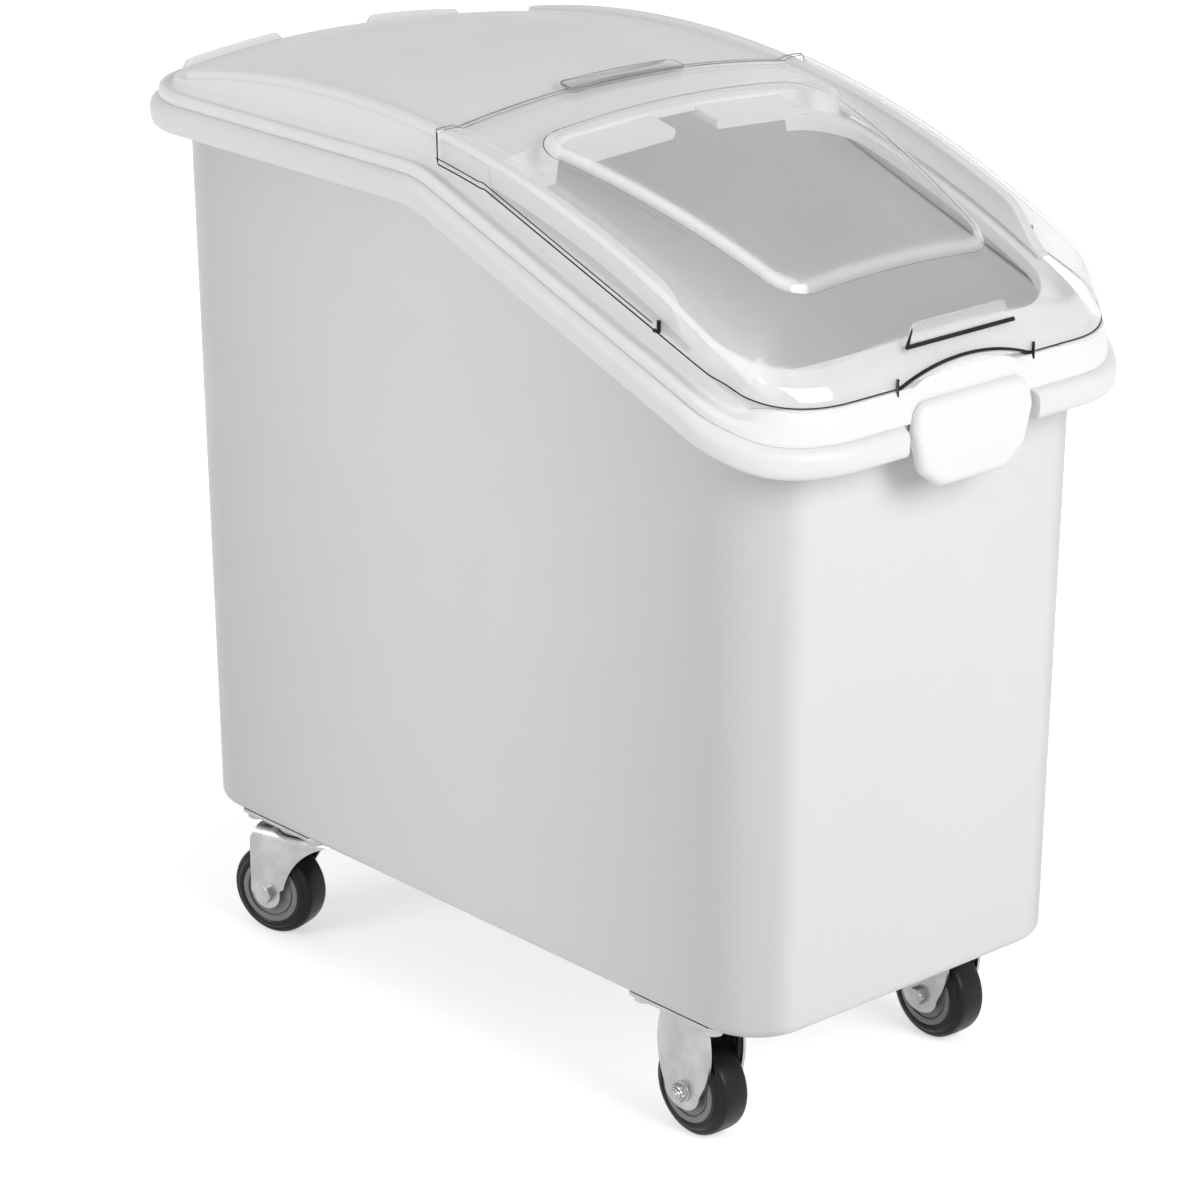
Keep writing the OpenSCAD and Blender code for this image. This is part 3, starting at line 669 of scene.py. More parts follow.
@dataclass
class Bin:
    """The tub: drafted walls on a round foot, and a rolled lip that follows the lip's line."""

    form: Form
    foot_side: float = 35.4
    foot_front: float = 47.5
    foot_rear: float = 43.4
    foot_r: float = 48.0
    foot_edge: float = 9.0
    wall_t: float = 4.0
    floor_t: float = 6.0
    floor_edge: float = 12.0
    drafts: Triple = (0.0157, 0.023, 0.013)
    corner_draft: float = 0.0187
    mid_z: float = 400.0
    lip_root: float = 5.0
    mouth_h: float = 8.0
    notch_soft: float = 2.4
    notch_lean: float = 0.05
    # Marks that paint shade on the wall's corners and a highlight on the lip.
    corner_shade: float = 0.85
    lip_highlight: float = -0.35
    outline: Outline = field(default_factory=lambda: Outline.make(notched(72), 22, 44, even(150)))

    def wall(self, z: Array, inset: Array) -> Array:
        """Rings of the wall at heights z: the foot's outline opened by the drafts, drawn in by inset."""
        f = self.form
        up = z - f.foot_z
        side, front, rear = self.drafts
        x, y = self.outline.ring(
            f.hw - self.foot_side + side * up - inset,
            f.front + self.foot_front - front * up + inset,
            f.rear - self.foot_rear + rear * up - inset,
            self.foot_r + self.corner_draft * up - inset,
        )
        return ring_rows(x, y, z)

    def lip(self) -> Array:
        """Rings of the lip, cut back at the front's notch."""
        f, o = self.form, self.outline
        x, y = o.ring(f.hw - LIP_IN, f.front + LIP_IN, f.rear - LIP_IN, f.lip_r - LIP_IN)
        cut = smooth(f.notch_hw + self.notch_soft, f.notch_hw, np.abs(x)) * o.at_front
        deep = np.maximum(y, f.front + f.notch_d + self.notch_lean * LIP_IN)
        return ring_rows(x, blend(y, deep, cut), f.line_z(y) + LIP_UP)

    def build(self) -> None:
        """Makes the tub as one closed skin: foot, wall, lip, mouth, inner wall and floor."""
        f, o = self.form, self.outline
        h, t = self.mouth_h, self.wall_t
        line = f.line_z(self.wall(column(self.mid_z), 0.0)[0, :, 1])
        turn = quarter(9)[:, None]

        def heel(z: float, r: float, inset: float, angle: Array) -> Array:
            """Rings of a quarter round of radius r that rises from height z."""
            return self.wall(z + r * (1 - np.cos(angle)) + 0 * line, inset + r * (1 - np.sin(angle)))

        share = np.linspace(0, 1, 40)[1:, None]
        floor = f.foot_z + self.floor_t
        below = np.concatenate([
            heel(f.foot_z, self.foot_edge, 0.0, turn),
            self.wall(blend(f.foot_z + self.foot_edge, line - self.lip_root, share), 0.0),
        ])
        lip = self.lip()
        mouth_up = column(-0.2, h - 1.2, h - 0.3, h, h - 0.3, h - 1.2)
        mouth = self.wall(line + mouth_up, column(0, 0, 0.6, t / 2, t - 0.6, t))
        inner = self.wall(blend(line, floor + self.floor_edge, share), t)
        rows = np.concatenate([below, lip, mouth, inner, heel(floor, self.floor_edge, t, turn[::-1])])
        # Painted shade darkens the foot and wall towards the four corners; a painted highlight lightens the
        # lip.
        tone = np.zeros(rows.shape[:2])
        corner = smooth(0.12, 0.55, np.abs(o.nx)) * np.square(2 * o.sy - 1)
        tone[:len(below)] = self.corner_shade * corner
        tone[len(below):len(below) + len(lip)] = self.lip_highlight
        shell = Shell("bin_tub")
        shell.grid(rows, mark=tone)
        shell.build(BIN_PLASTIC, "bin", ["bin"])


def round_section(u0: float, u1: float, v0: float, v1: float, r: float, steps: int = 5) -> Array:
    """A rectangle section with round corners, anticlockwise.

    Args:
        u0: Left side.
        u1: Right side.
        v0: Foot.
        v1: Top.
        r: Corner radius.
        steps: Points on each corner.

    Returns:
        Points of shape (4 * steps, 2).
    """
    turn = quarter(steps) + (np.arange(4)[:, None] - 1) * np.pi / 2
    cu = column(u1 - r, u1 - r, u0 + r, u0 + r)
    cv = column(v0 + r, v1 - r, v1 - r, v0 + r)
    return np.stack([cu + r * np.cos(turn), cv + r * np.sin(turn)], -1).reshape(-1, 2)


# The band's section at the sides, ring by ring: up, over its top and through a groove to the wall.
BAND_IN = column(0.9, 0.2, 0, 0, 0.5, 1.7, 3.4, 5.2, 6.8, 8.4, 10.0, 11.3, 12.0)
BAND_UP = column(0, 0.7, 2, 5.5, 7.9, 9.1, 9.5, 9.0, 8.1, 7.6, 7.9, 9.4, 12.0)
# The apron's section at the front, which the band melts into.
APRON_IN = column(0.9, 0.2, 0, 0.1, 0.3, 0.7, 1.1, 1.6, 2.1, 2.6, 3.2, 4.0, 5.6)
APRON_UP = column(0, 0.7, 2, 5.0, 8.0, 11, 14, 17, 19.5, 21.6, 23.4, 24.9, 25.5)
# How far the bump's face leans back at heights above the lip.
LEAN_UP = (0, 8, 14, 19.5, 23.4, 36)
LEAN_BACK = (-0.2, 0.05, 0.75, 1.7, 2.7, 3.4)


@dataclass
class LidFrame:
    """The white lid: band, groove, walls, rear dome, front deck round the mouth, rails and ridges."""

    form: Form
    lid_t: float = 3.0
    sole_up: float = 6.0
    apron_run: float = 5.8
    mouth_front: float = 62.0
    mouth_hw: float = 156.0
    mouth_r: float = 45.0
    mouth_soft: float = 1.2
    mouth_down: float = 11.0
    hem_share: float = 0.985
    under_gap: float = 0.4
    wall_soft: float = 1.8
    dome_edge: float = 6.0
    dome_step: float = 0.4
    dome_shade: float = 0.45
    roll_off: float = 9.0
    roll_x: tuple[float, float] = (146.0, 184.0)
    rail_root: float = 3.0
    rail_start: float = 92.0
    rail_ramp: float = 46.0
    rail_steps: int = 110
    lug_x: float = 65.0
    lug_hw: float = 44.0
    lug_l: float = 24.0
    ridge_x: tuple[float, float] = (45.0, 140.0)
    bump_edge: float = 1.6
    bump_back: float = 14.0
    counts: tuple[int, int, int] = (48, 22, 48)
    parts: tuple[int, int, int] = (40, 16, 80)

    def outline(self) -> Outline:
        """Samples whose side straights break where the mouth's rear corner and the dome start."""
        f = self.form
        y0, y1 = f.front + f.lip_r, f.rear - f.lip_r
        bend, dome = f.dome_front - self.mouth_r, f.dome_front
        spans = zip((y0, bend, dome), (bend, dome - self.dome_step, y1), self.parts)
        y = np.concatenate([np.linspace(a, b, n, endpoint=False) for a, b, n in spans])
        return Outline.make(even(self.counts[0]), self.counts[1], self.counts[2], (y - y0) / (y1 - y0))

    def mouth_ring(self, o: Outline) -> Pair:
        """The mouth's edge, sample for sample with the lid's outline.

        The front, its corners and the sides follow the outline; the samples beside the dome fan
        out along the mouth's straight rear edge by their share of the way round the dome.

        Args:
            o: The lid's outline.

        Returns:
            The x and y of each sample.
        """
        f, r = self.form, self.mouth_r
        nf, nc, _ = self.counts
        na, nb, _ = self.parts
        n = len(o.sx)
        c = self.mouth_hw - r
        y0, y1 = f.front + self.mouth_front, f.dome_front
        bend = np.linspace(0, np.pi / 2, nb, endpoint=False)
        corner, i = slice(nf, nf + nc), nf + nc + na + nb
        x, y = o.sx * c, np.full(n, y0)
        side = np.linspace(y0 + r, y1 - r, na, endpoint=False)
        x[nf:i] = np.concatenate([c + r * o.nx[corner], np.full(na, self.mouth_hw), c + r * np.cos(bend)])
        y[nf:i] = np.concatenate([y0 + r * (1 + o.ny[corner]), side, y1 - r * (1 - np.sin(bend))])
        mirror = (nf - np.arange(n)) % n
        last = mirror[i]
        ox, oy = o.ring(f.wall_hw, *f.wall_y, f.wall_r)
        step = np.hypot(np.diff(ox[i:last + 1]), np.diff(oy[i:last + 1]))
        way = np.concatenate([[0], np.cumsum(step)]) / step.sum()
        left = np.arange(n) > last
        x[left] = -x[mirror[left]]
        y[left] = y[mirror[left]]
        x[i:last + 1] = c * (1 - 2 * way)
        y[i:last + 1] = y1
        return x, y

    def on_dome(self, y: Array) -> Array:
        """Whether y lies behind the dome's front edge."""
        return y >= self.form.dome_front - NEAR

    def top_z(self, x: Array, y: Array) -> Array:
        """Height of the lid's top: the dome, and before it the deck, rolled off at the sides."""
        f = self.form
        deck = f.arc_z(y, f.deck_r) - self.roll_off * smooth(*self.roll_x, np.abs(x))
        return np.where(self.on_dome(y), f.dome_z(x, y), deck)

    def skin(self) -> Array:
        """One closed loop of rings: band, groove or apron, wall, top, mouth's edge and the underside.

        At the sides the band leads over a groove to the wall; round the front corners this melts
        into a smooth apron, by the outward direction's share towards the front.

        Returns:
            Rings of points.
        """
        f = self.form
        o = self.outline()
        ahead = smooth(0.35, 0.8, -o.ny)

        def band_ring(d: Array) -> Pair:
            """The band's outline drawn in by d."""
            inset = f.lid_in + d
            return o.ring(f.hw - inset, f.front + inset, f.rear - inset, f.lip_r - inset)

        def rows(ring: Pair, z: Array) -> Array:
            """Rings of points from one outline or a stack of them, and their heights."""
            return ring_rows(*ring, z).reshape(-1, len(o.sx), 3)

        outside = band_ring(blend(BAND_IN, APRON_IN, ahead))
        band = rows(outside, f.line_z(outside[1]) + blend(BAND_UP, APRON_UP, ahead))
        base = band[-1, :, 2]
        climb = column(0.25, 0.5, 0.75, 1.0)
        rise = blend(base, self.top_z(*band_ring(f.shelf_w + 1)) - self.wall_soft, climb)
        wall_in = blend(f.shelf_w, APRON_IN[-1] + climb * self.apron_run, ahead)
        wall = rows(band_ring(wall_in), blend(rise, base, ahead))
        ex, ey = band_ring(f.shelf_w + column(0.1, 0.5, 1.2, 2.4))
        edge = rows((ex, ey), self.top_z(ex, ey) - column(1.0, 0.45, 0.12, 0.0))
        mx, my = self.mouth_ring(o)
        t = np.linspace(0, 1, 60)[1:, None]
        top = blend(ex[-1], mx, t), blend(ey[-1], my, t)
        upper = rows(top, self.top_z(*top) - self.mouth_soft * smooth(0.97, 1.0, t))
        dome_low = upper[-1, :, 2] - self.dome_edge
        low = np.where(self.on_dome(my), dome_low, f.arc_z(my, f.deck_r - self.mouth_down))
        hem = blend(ex[-1], mx, self.hem_share), blend(ey[-1], my, self.hem_share)
        under = upper[::-4].copy()[1:]
        under[..., 2] -= self.lid_t + self.under_gap
        inner, sole = band_ring(f.shelf_w + self.lid_t), band_ring(self.lid_t)
        return np.concatenate([
            band, wall, edge, upper, rows((mx, my), low), rows(hem, low), under,
            rows(inner, self.top_z(*inner) - self.lid_t),
            rows(inner, f.line_z(inner[1]) + self.sole_up),
            rows(sole, f.line_z(sole[1]) + self.sole_up),
            rows(sole, f.line_z(sole[1])),
        ])

    def swung_bar(self, section: Array, y0: float, y1: float, count: int) -> Array:
        """A bar carried about the pivot line.

        Args:
            section: Points (x, radius), one section for all rings or one per ring.
            y0: Where it starts.
            y1: Where it ends.
            count: Number of rings.

        Returns:
            Rings of points.
        """
        f = self.form
        angle = np.arcsin((np.linspace(y0, y1, count)[:, None] - f.crest_y) / f.rail_r)
        x, r = section[..., 0], section[..., 1]
        return ring_rows(x, f.crest_y + r * np.sin(angle), f.pivot_z + r * np.cos(angle))

    def rail(self, side: Side) -> Array:
        """A guide rail along one side of the mouth and the dome, drawn down to the deck at its front end."""
        f = self.form
        foot = f.deck_r - self.rail_root
        section = round_section(f.rail_x, f.rail_x + f.rail_w, foot, f.rail_r, 1.6)
        y0, y1 = f.front + self.rail_start, f.wall_y[1] - f.wall_r + 2 * f.rail_h
        y = np.linspace(y0, y1, self.rail_steps)[:, None]
        grown = blend(0.12, 1.0, smooth(y0, y0 + self.rail_ramp, y))
        rings = np.stack([side.value * section[:, 0] + 0 * grown, foot + (section[:, 1] - foot) * grown], -1)
        return self.swung_bar(rings, y0, y1, self.rail_steps)

    def ridge(self, side: Side) -> Array:
        """A low stop along the dome's rear edge, drawn down at its ends."""
        f = self.form
        x0, x1 = self.ridge_x
        x = np.linspace(x0, x1, 24)[:, None]
        ends = np.minimum(smooth(x0 - 1, x0 + 5, x), smooth(x1 + 1, x1 - 5, x))
        y, up = round_section(f.wall_y[1] - 8, f.wall_y[1] - 3, -2.0, 6.0, 1.2).T
        height = np.where(up > 0, up * blend(0.15, 1.0, ends), up)
        return ring_rows(side.value * x, y, f.dome_z(x, y) + height)

    def lug(self, side: Side) -> Array:
        """A tongue that reaches forward from the dome, under the cover."""
        f = self.form
        x, up = round_section(-self.lug_hw, self.lug_hw, -12.0, -3.0, 3.0).T
        x = x + side.value * self.lug_x
        section = np.stack([x, f.crown(x, f.rail_r + f.crown_up) + up], -1)
        return self.swung_bar(section, f.dome_front - self.lug_l, f.dome_front + 2, 8)

    def bump(self) -> Array:
        """The arched bump that carries the grip plate: an arch whose face leans back with the apron."""
        f = self.form
        radius = (f.bump_hw ** 2 + f.arch_rise ** 2) / (2 * f.arch_rise)
        turn = np.linspace(-1, 1, 61) * math.asin((f.bump_hw - 2) / radius)
        arch = np.stack([radius * np.sin(turn), f.bump_up - radius + radius * np.cos(turn)], -1)
        foot = np.stack([np.linspace(1, -1, 30) * (f.bump_hw - 1), np.zeros(30)], -1)
        centre = np.array([0.0, f.bump_up * 0.4])
        bend = quarter(6)
        back = np.concatenate([[self.bump_back], self.bump_edge * (1 - np.sin(bend)), np.zeros(6)])
        inset = np.concatenate([[0], self.bump_edge * (1 - np.cos(bend)), np.linspace(4, 25, 6)])
        scale = 1 - inset[:, None, None] / np.array([f.bump_hw, f.bump_up * 0.6])
        flat = centre + (np.concatenate([arch, foot]) - centre) * scale
        up = np.clip(flat[..., 1], 0.2, None)
        lean = np.interp(up, LEAN_UP, LEAN_BACK)
        return ring_rows(flat[..., 0], f.front + f.lid_in + lean + back[:, None], f.front_rim + up)

    def build(self) -> None:
        """Makes the lid as one piece, with painted shade that greys the top of the dome."""
        f = self.form
        rows = self.skin()
        x, y, z = np.moveaxis(rows, -1, 0)
        # Painted shade on the dome's top, which the mark darkens.
        on_top = (y >= f.dome_front) & (np.abs(z - f.dome_z(x, y)) < 0.05)
        shell = Shell("lid_frame_shell")
        shell.grid(rows, loop=True, mark=self.dome_shade * on_top)
        for side in Side:
            shell.add(self.rail(side), self.ridge(side), self.lug(side))
        shell.add(self.bump()).build(LID_PLASTIC, "lid", ["lid_frame"])


def soft_outline(corners: Sequence, r: float, steps: int = 9, edge: int = 6) -> Array:
    """A convex outline with round corners.

    Each corner is an arc that meets both edges; points are shared out along the edges between.

    Args:
        corners: Corners, anticlockwise.
        r: Radius of every corner.
        steps: Points on each arc.
        edge: Points put between two arcs.

    Returns:
        Points of the closed outline.
    """
    p = np.array(corners, float)
    d = np.roll(p, -1, 0) - p
    b = np.stack([d[:, 1], -d[:, 0]], -1) / np.linalg.norm(d, axis=1)[:, None]
    a = np.roll(b, 1, 0)
    cosine = (a * b).sum(1)
    seat = p - (a + b) / (1 + cosine)[:, None] * r
    turn = np.arccos(np.clip(cosine, -1, 1))
    angle = np.arctan2(a[:, 1], a[:, 0])[:, None] + turn[:, None] * np.linspace(0, 1, steps)
    arc = seat[:, None] + r * np.stack([np.cos(angle), np.sin(angle)], -1)
    share = np.linspace(0, 1, edge + 2)[1:-1, None]
    between = blend(arc[:, -1:], np.roll(arc[:, 0], -1, 0)[:, None], share)
    return np.concatenate([arc, between], 1).reshape(-1, 2)


def scaled(ring: Array, middle: Sequence[float], scale: Array) -> Pair:
    """Copies of an outline scaled about a middle, one per row of scale, as their two coordinates."""
    flat = np.array(middle) + (ring - np.array(middle)) * scale[:, None]
    return flat[..., 0], flat[..., 1]


def block(x: Sequence[float], y: Sequence[float], z: Sequence[float]) -> Array:
    """A small round-edged block between two values each of x, y and z."""
    ring = round_section(*sorted(x), *y, 0.6, 3)
    flat = scaled(ring, ring.mean(0), column(0.8, 1.0, 1.0, 0.8))
    return ring_rows(*flat, column(z[0], z[0] + 0.5, z[1] - 0.5, z[1]))


def cord(path: Array, radius: Array | float, closed: bool = False, steps: int = 8) -> Array:
    """A round cord along a path: at each point a ring across the path's direction.

    Args:
        path: Points of the path.
        radius: Radius, one for all or one at each point.
        closed: Whether the path closes.
        steps: Points on each ring.

    Returns:
        Rings of points.
    """
    along = np.roll(path, -1, 0) - np.roll(path, 1, 0) if closed else np.gradient(path, axis=0)
    along /= np.linalg.norm(along, axis=1, keepdims=True) + TINY
    up = np.where(np.abs(along[:, 2:]) > 0.9, [[0, 1.0, 0]], [[0, 0, 1.0]])
    side = np.cross(along, up)
    side /= np.linalg.norm(side, axis=1, keepdims=True)
    over = np.cross(side, along)
    a = around(steps)[None, :, None]
    r = np.broadcast_to(radius, len(path))[:, None, None]
    return path[:, None] + r * (np.cos(a) * side[:, None] + np.sin(a) * over[:, None])


# Corners of the grip's shield, as shares of its half width and its height.
SHIELD = np.array([
    (-0.53, -1), (0.53, -1), (0.86, -0.78), (1, -0.33), (0.9, 0), (-0.9, 0), (-1, -0.33), (-0.86, -0.78),
])


@dataclass
class GripPlate:
    """The shield-shaped grip at the front: a soft plate with a crowned, bare face."""

    form: Form
    hw: float = 60.0
    height: float = 65.0
    corner_r: float = 13.0
    middle: float = 0.48
    out: float = 2.0
    top: float = 15.0
    skin_t: float = 3.0
    edge: float = 6.5
    crown: float = 1.2

    def build(self) -> None:
        """Carries the shield's outline from the back over a round edge and in to the face's middle."""
        f, w, h = self.form, self.hw, self.height
        ring = soft_outline(SHIELD * (w, h), self.corner_r)
        span = np.array([w, h / 2])
        back, face = f.front + f.lid_in - 0.2, f.front - self.out
        turn = quarter(8)
        edge = 1 - self.edge * (1 - np.cos(turn))[:, None] / span
        edge_y = face + self.crown + self.edge * (1 - np.sin(turn))
        shrink = np.linspace(1, 0, 10)[1:-1]
        hollow = 1 - self.skin_t / span
        behind = [hollow * 0.3, hollow * 0.9, hollow, [1, 1]]
        scales = np.concatenate([behind, edge, edge[-1] * shrink[:, None]])
        behind_y, inner_y = [face + 3.6, face + 4.2, back, back], face + self.crown * shrink ** 2
        depth = np.concatenate([behind_y, edge_y, inner_y])
        x, up = scaled(ring, (0.0, -self.middle * h), scales)
        shell = Shell("grip_plate_shield").add(ring_rows(x, depth[:, None], f.front_rim + self.top + up))
        shell.build(LID_PLASTIC, "lid", ["grip_plate"], sharp=50)


# Rings of the cover's outer face: skirts, their turn inwards, the border and the panel's middle.
WALL_ROWS, TURN_ROWS, BORDER_ROWS, MIDDLE_ROWS = 9, 12, 15, 17
FOOT_ROW = WALL_ROWS + TURN_ROWS + BORDER_ROWS
REAR_ROW = 18
# The panel's sloping edge, ring by ring: growth of its outline, share of its rise, and painted highlight.
PANEL_GROW = column(3.2, 2.2, 1.0, -0.4, -1.8, -3.0, -4.2, -6.0)
PANEL_LIFT = column(0.06, 0.22, 0.5, 0.78, 0.95, 1.06, 1.08, 1.0)
PANEL_HIGHLIGHT = column(0.06, 0.25, 0.5, 0.62, 0.55, 0.35, 0.18, 0.05)


@dataclass
class SlidingCover:
    """The clear cover: a crowned sheet with skirts, a raised panel, a round nose, grips and hooks."""

    form: Form
    sheet_t: float = 2.8
    slide_gap: float = 0.3
    crown_gap: float = 1.2
    side_gap: float = 2.2
    front_up: float = 26.0
    skirt_up: float = 28.0
    skirt_h: float = 21.0
    lap: float = 55.0
    rear_in: float = 6.0
    rear_r: float = 8.0
    panel_up: float = 7.0
    panel_hw: tuple[float, float] = (104.0, 137.0)
    panel_in: float = 84.0
    panel_r: float = 26.0
    nose: float = 30.0
    edge: float = 5.0
    arch_gap: float = 2.0
    hook_in: float = 124.0
    grip_hw: float = 57.0
    grip_y: tuple[float, float] = (-8.0, 10.0)
    pull_up: float = 51.8
    pull_hw: tuple[float, float] = (53.0, 46.0)
    pull_z: tuple[float, float] = (-3.0, 16.0)
    outline: Outline = field(default_factory=lambda: Outline.make(even(96), 26, 64, even(84)))

    @property
    def hw(self) -> float:
        """Half width over the skirts."""
        return self.form.wall_hw + self.side_gap + self.sheet_t

    @property
    def ends(self) -> tuple[float, float]:
        """Front and rear of the cover."""
        f = self.form
        return f.wall_y[0] - self.side_gap - self.sheet_t - 1, f.dome_front + self.lap

    @property
    def hem_z(self) -> float:
        """Height of the lower edge at the front."""
        return self.form.front_rim + self.front_up

    @property
    def pull_foot(self) -> float:
        """Height that the pull is measured from."""
        return self.form.front_rim + self.pull_up

    def height(self, x: Array, y: Array) -> Array:
        """Outer height: the crown in the middle, and at the sides a flat border over the rails."""
        f = self.form
        top = f.crown(x, f.rail_r + f.crown_up + self.crown_gap + self.sheet_t)
        border = f.rail_r + self.slide_gap + self.sheet_t
        return f.arc_z(y, blend(top, border, smooth(f.rail_x - 9, f.rail_x - 3, np.abs(x))))

    def low_edge(self, x: Array, y: Array) -> Array:
        """Lower edge: along the lip's line, clear of the deck at the corners, arched at the front."""
        f = self.form
        corner = self.ends[0] + f.wall_r - 10
        side = f.line_z(y) + self.skirt_up
        side = np.where(y > f.dome_front, np.minimum(side, f.arc_z(y, f.rail_r - self.skirt_h)), side)
        front = np.maximum(f.line_z(y) + self.front_up, f.arc_z(y, f.deck_r + 0.6))
        edge = blend(front, side, smooth(corner - 14, corner + 4, y))
        top = f.bump_up + self.arch_gap
        rise = top - self.front_up
        radius = (f.bump_hw ** 2 + rise ** 2) / (2 * rise)
        across = np.clip(np.abs(x), 0, radius)
        arch = f.front_rim + top - radius + np.sqrt(radius ** 2 - across ** 2)
        at_front = (np.abs(x) < f.bump_hw + 3) & (y < self.ends[0] + 5)
        return np.where(at_front, np.maximum(edge, arch), edge)

    def outer(self) -> Array:
        """Rings of the outer face, from the lower edge up the skirts and in to the panel's middle.

        Skirts rise straight, turn in over a quarter round that is wide at the nose and narrow at
        the sides, and run to the panel's foot; at the rear the sheet simply ends.

        Returns:
            Rings of points.
        """
        f, o = self.form, self.outline
        y0, y1 = self.ends
        r_front = f.wall_r + self.side_gap + self.sheet_t - 1
        behind = smooth(0.25, 0.75, o.ny)
        rho = blend(self.edge, self.nose, smooth(0.1, 0.95, -o.ny))

        def ring(d: Array) -> Pair:
            """The cover's outline drawn in by d."""
            r_rear = self.rear_r - np.minimum(d, self.rear_r - 1)
            return o.ring(self.hw - d, y0 + d, y1 - d, r_front - d, r_rear)

        rings = WALL_ROWS + TURN_ROWS
        step = np.linspace(0, self.rear_in, rings)[:, None]
        low = self.low_edge(*ring(0.0 * rho))
        climb_in = self.height(*ring(rho * 0.5 + 1)) - self.height(*ring(rho * 0.5))
        last = np.pi / 2 - np.arctan(np.clip(climb_in, 0, 2))
        turn = np.linspace(0, 1, TURN_ROWS)[:, None] * last
        ex, ey = ring(blend(rho * (1 - np.cos(turn)), step[WALL_ROWS:], behind))
        crest = self.height(ex, ey)
        edge_z = blend(crest[-1] - rho * (np.sin(last) - np.sin(turn)), crest, behind)
        wx, wy = ring(behind * step[:WALL_ROWS])
        wall_z = blend(blend(low, edge_z[0], even(WALL_ROWS)[:, None]), self.height(wx, wy), behind)

        p_front, p_rear = f.front + self.panel_in, f.dome_front

        def panel(grow: Array) -> Pair:
            """The panel's outline, wider to the rear, grown by grow."""
            half = blend(*self.panel_hw, o.sy) + grow
            return o.ring(half, p_front - grow, p_rear + grow, self.panel_r + grow)

        px, py = panel(column(4.0))
        t = np.linspace(0, 1, BORDER_ROWS + 1)[1:, None]
        tx, ty = blend(ex[-1], px, t), blend(ey[-1], py, t)
        qx, qy = panel(PANEL_GROW)
        middle = (p_front + p_rear) / 2
        s = np.linspace(1, 0.004, MIDDLE_ROWS + 1)[1:, None]
        cx, cy = qx[-1] * s, middle + (qy[-1] - middle) * s
        return np.concatenate([
            ring_rows(wx, wy, wall_z),
            ring_rows(ex, ey, edge_z),
            ring_rows(tx, ty, self.height(tx, ty)),
            ring_rows(qx, qy, self.height(qx, qy) + self.panel_up * PANEL_LIFT),
            ring_rows(cx, cy, self.height(cx, cy) + self.panel_up),
        ])

    def sheet(self) -> Array:
        """The outer face and, a sheet's thickness inside it, the inner face, joined at the lower edge."""
        outer = self.outer()
        along = np.gradient(outer, axis=0)
        across = np.roll(outer, -1, 1) - np.roll(outer, 1, 1)
        normal = np.cross(across, along)
        normal /= np.linalg.norm(normal, axis=-1, keepdims=True) + TINY
        normal *= np.sign(normal[-1, :, 2].mean())
        return np.concatenate([(outer - self.sheet_t * normal)[::-1], outer])

    def rear_grip(self) -> Array:
        """A thumb ledge on the rear edge: a round plate that follows the crown."""
        w, y1 = self.grip_hw, self.ends[1]
        y_low, y_high = y1 + self.grip_y[0], y1 + self.grip_y[1]
        ring = soft_outline([(-w, y_low), (w, y_low), (w, y_high), (-w, y_high)], 6.0, 7, 14)
        half = (y_high - y_low) / 2
        scale = 1 - column(0.6, 0.0, 0.3, 1.4) / np.array([w, half])
        x, y = scaled(ring, (0.0, y1 + 1), scale)
        return ring_rows(x, y, self.height(x, np.minimum(y, y_high)) + column(-0.4, 0.6, 1.6, 2.0))

    def front_grip(self) -> Array:
        """The pull on the nose: an upright blade that narrows to a soft-cornered top."""
        (low_w, top_w), (low, top) = self.pull_hw, self.pull_z
        ring = soft_outline([(-low_w, low), (low_w, low), (top_w, top), (-top_w, top)], 5.0, 7, 16)
        scale = 1 - column(0.7, 0.0, 0.0, 0.7) / np.array([50.0, 9.5])
        x, up = scaled(ring, (0.0, 6.5), scale)
        return ring_rows(x, self.ends[0] + 6 + column(0.0, 0.7, 2.3, 3.0), self.pull_foot + up)

    def marks(self) -> Array:
        """How much painted highlight each ring of the outer face gets: flanks, nose, border and the panel's
        sloping edge.
        """
        o = self.outline
        flank = smooth(0.6, 0.95, np.abs(o.nx))
        shine = np.concatenate([np.zeros(WALL_ROWS), np.sin(np.linspace(0, np.pi, TURN_ROWS))])[:, None]
        wall = (0.2 + 0.45 * shine) * flank + 0.38 * smooth(0.3, 0.9, -o.ny)
        border = 0.2 * np.linspace(1.0, 0.0, BORDER_ROWS)[:, None] ** 2 * flank
        facing = 0.12 + 0.88 * smooth(0.3, 0.9, np.abs(o.nx)) + 0.22 * smooth(0.4, 1.0, -o.ny)
        return np.concatenate([wall, border, PANEL_HIGHLIGHT * facing, np.full((MIDDLE_ROWS, len(flank)), 0.01)])

    def lines(self) -> tuple[list[Array], list[Array], list[Array]]:
        """Thin cords along the edges that paint the clear sheet's dark refraction lines and the shadow line
        under the pull.

        Returns:
            Dark cords at the cut edges, grey ones at the rear, and closed grey ones round the panel
            and the rear grip, as rings.
        """
        f, o = self.form, self.outline
        outer = self.outer()
        y0, y1 = self.ends
        hook_y, z0 = f.front + self.hook_in, self.pull_foot
        rear = np.flatnonzero(o.ny > 0.7)
        count = len(o.ny)
        round_front = (np.arange(count - len(rear)) + rear[-1] + 1) % count
        low = outer[0][round_front] + np.array([0, 0, 0.3])
        at_arch = o.at_front[round_front] & (np.abs(low[:, 0]) < f.bump_hw + 3)
        dark = [cord(low, np.where(at_arch, 1.5, 0.55))]

        def line(x: Array, y: Array, z: Array, radius: Array | float) -> None:
            """Adds a dark cord along x, y and z."""
            dark.append(cord(ring_rows(x, y, z), radius))

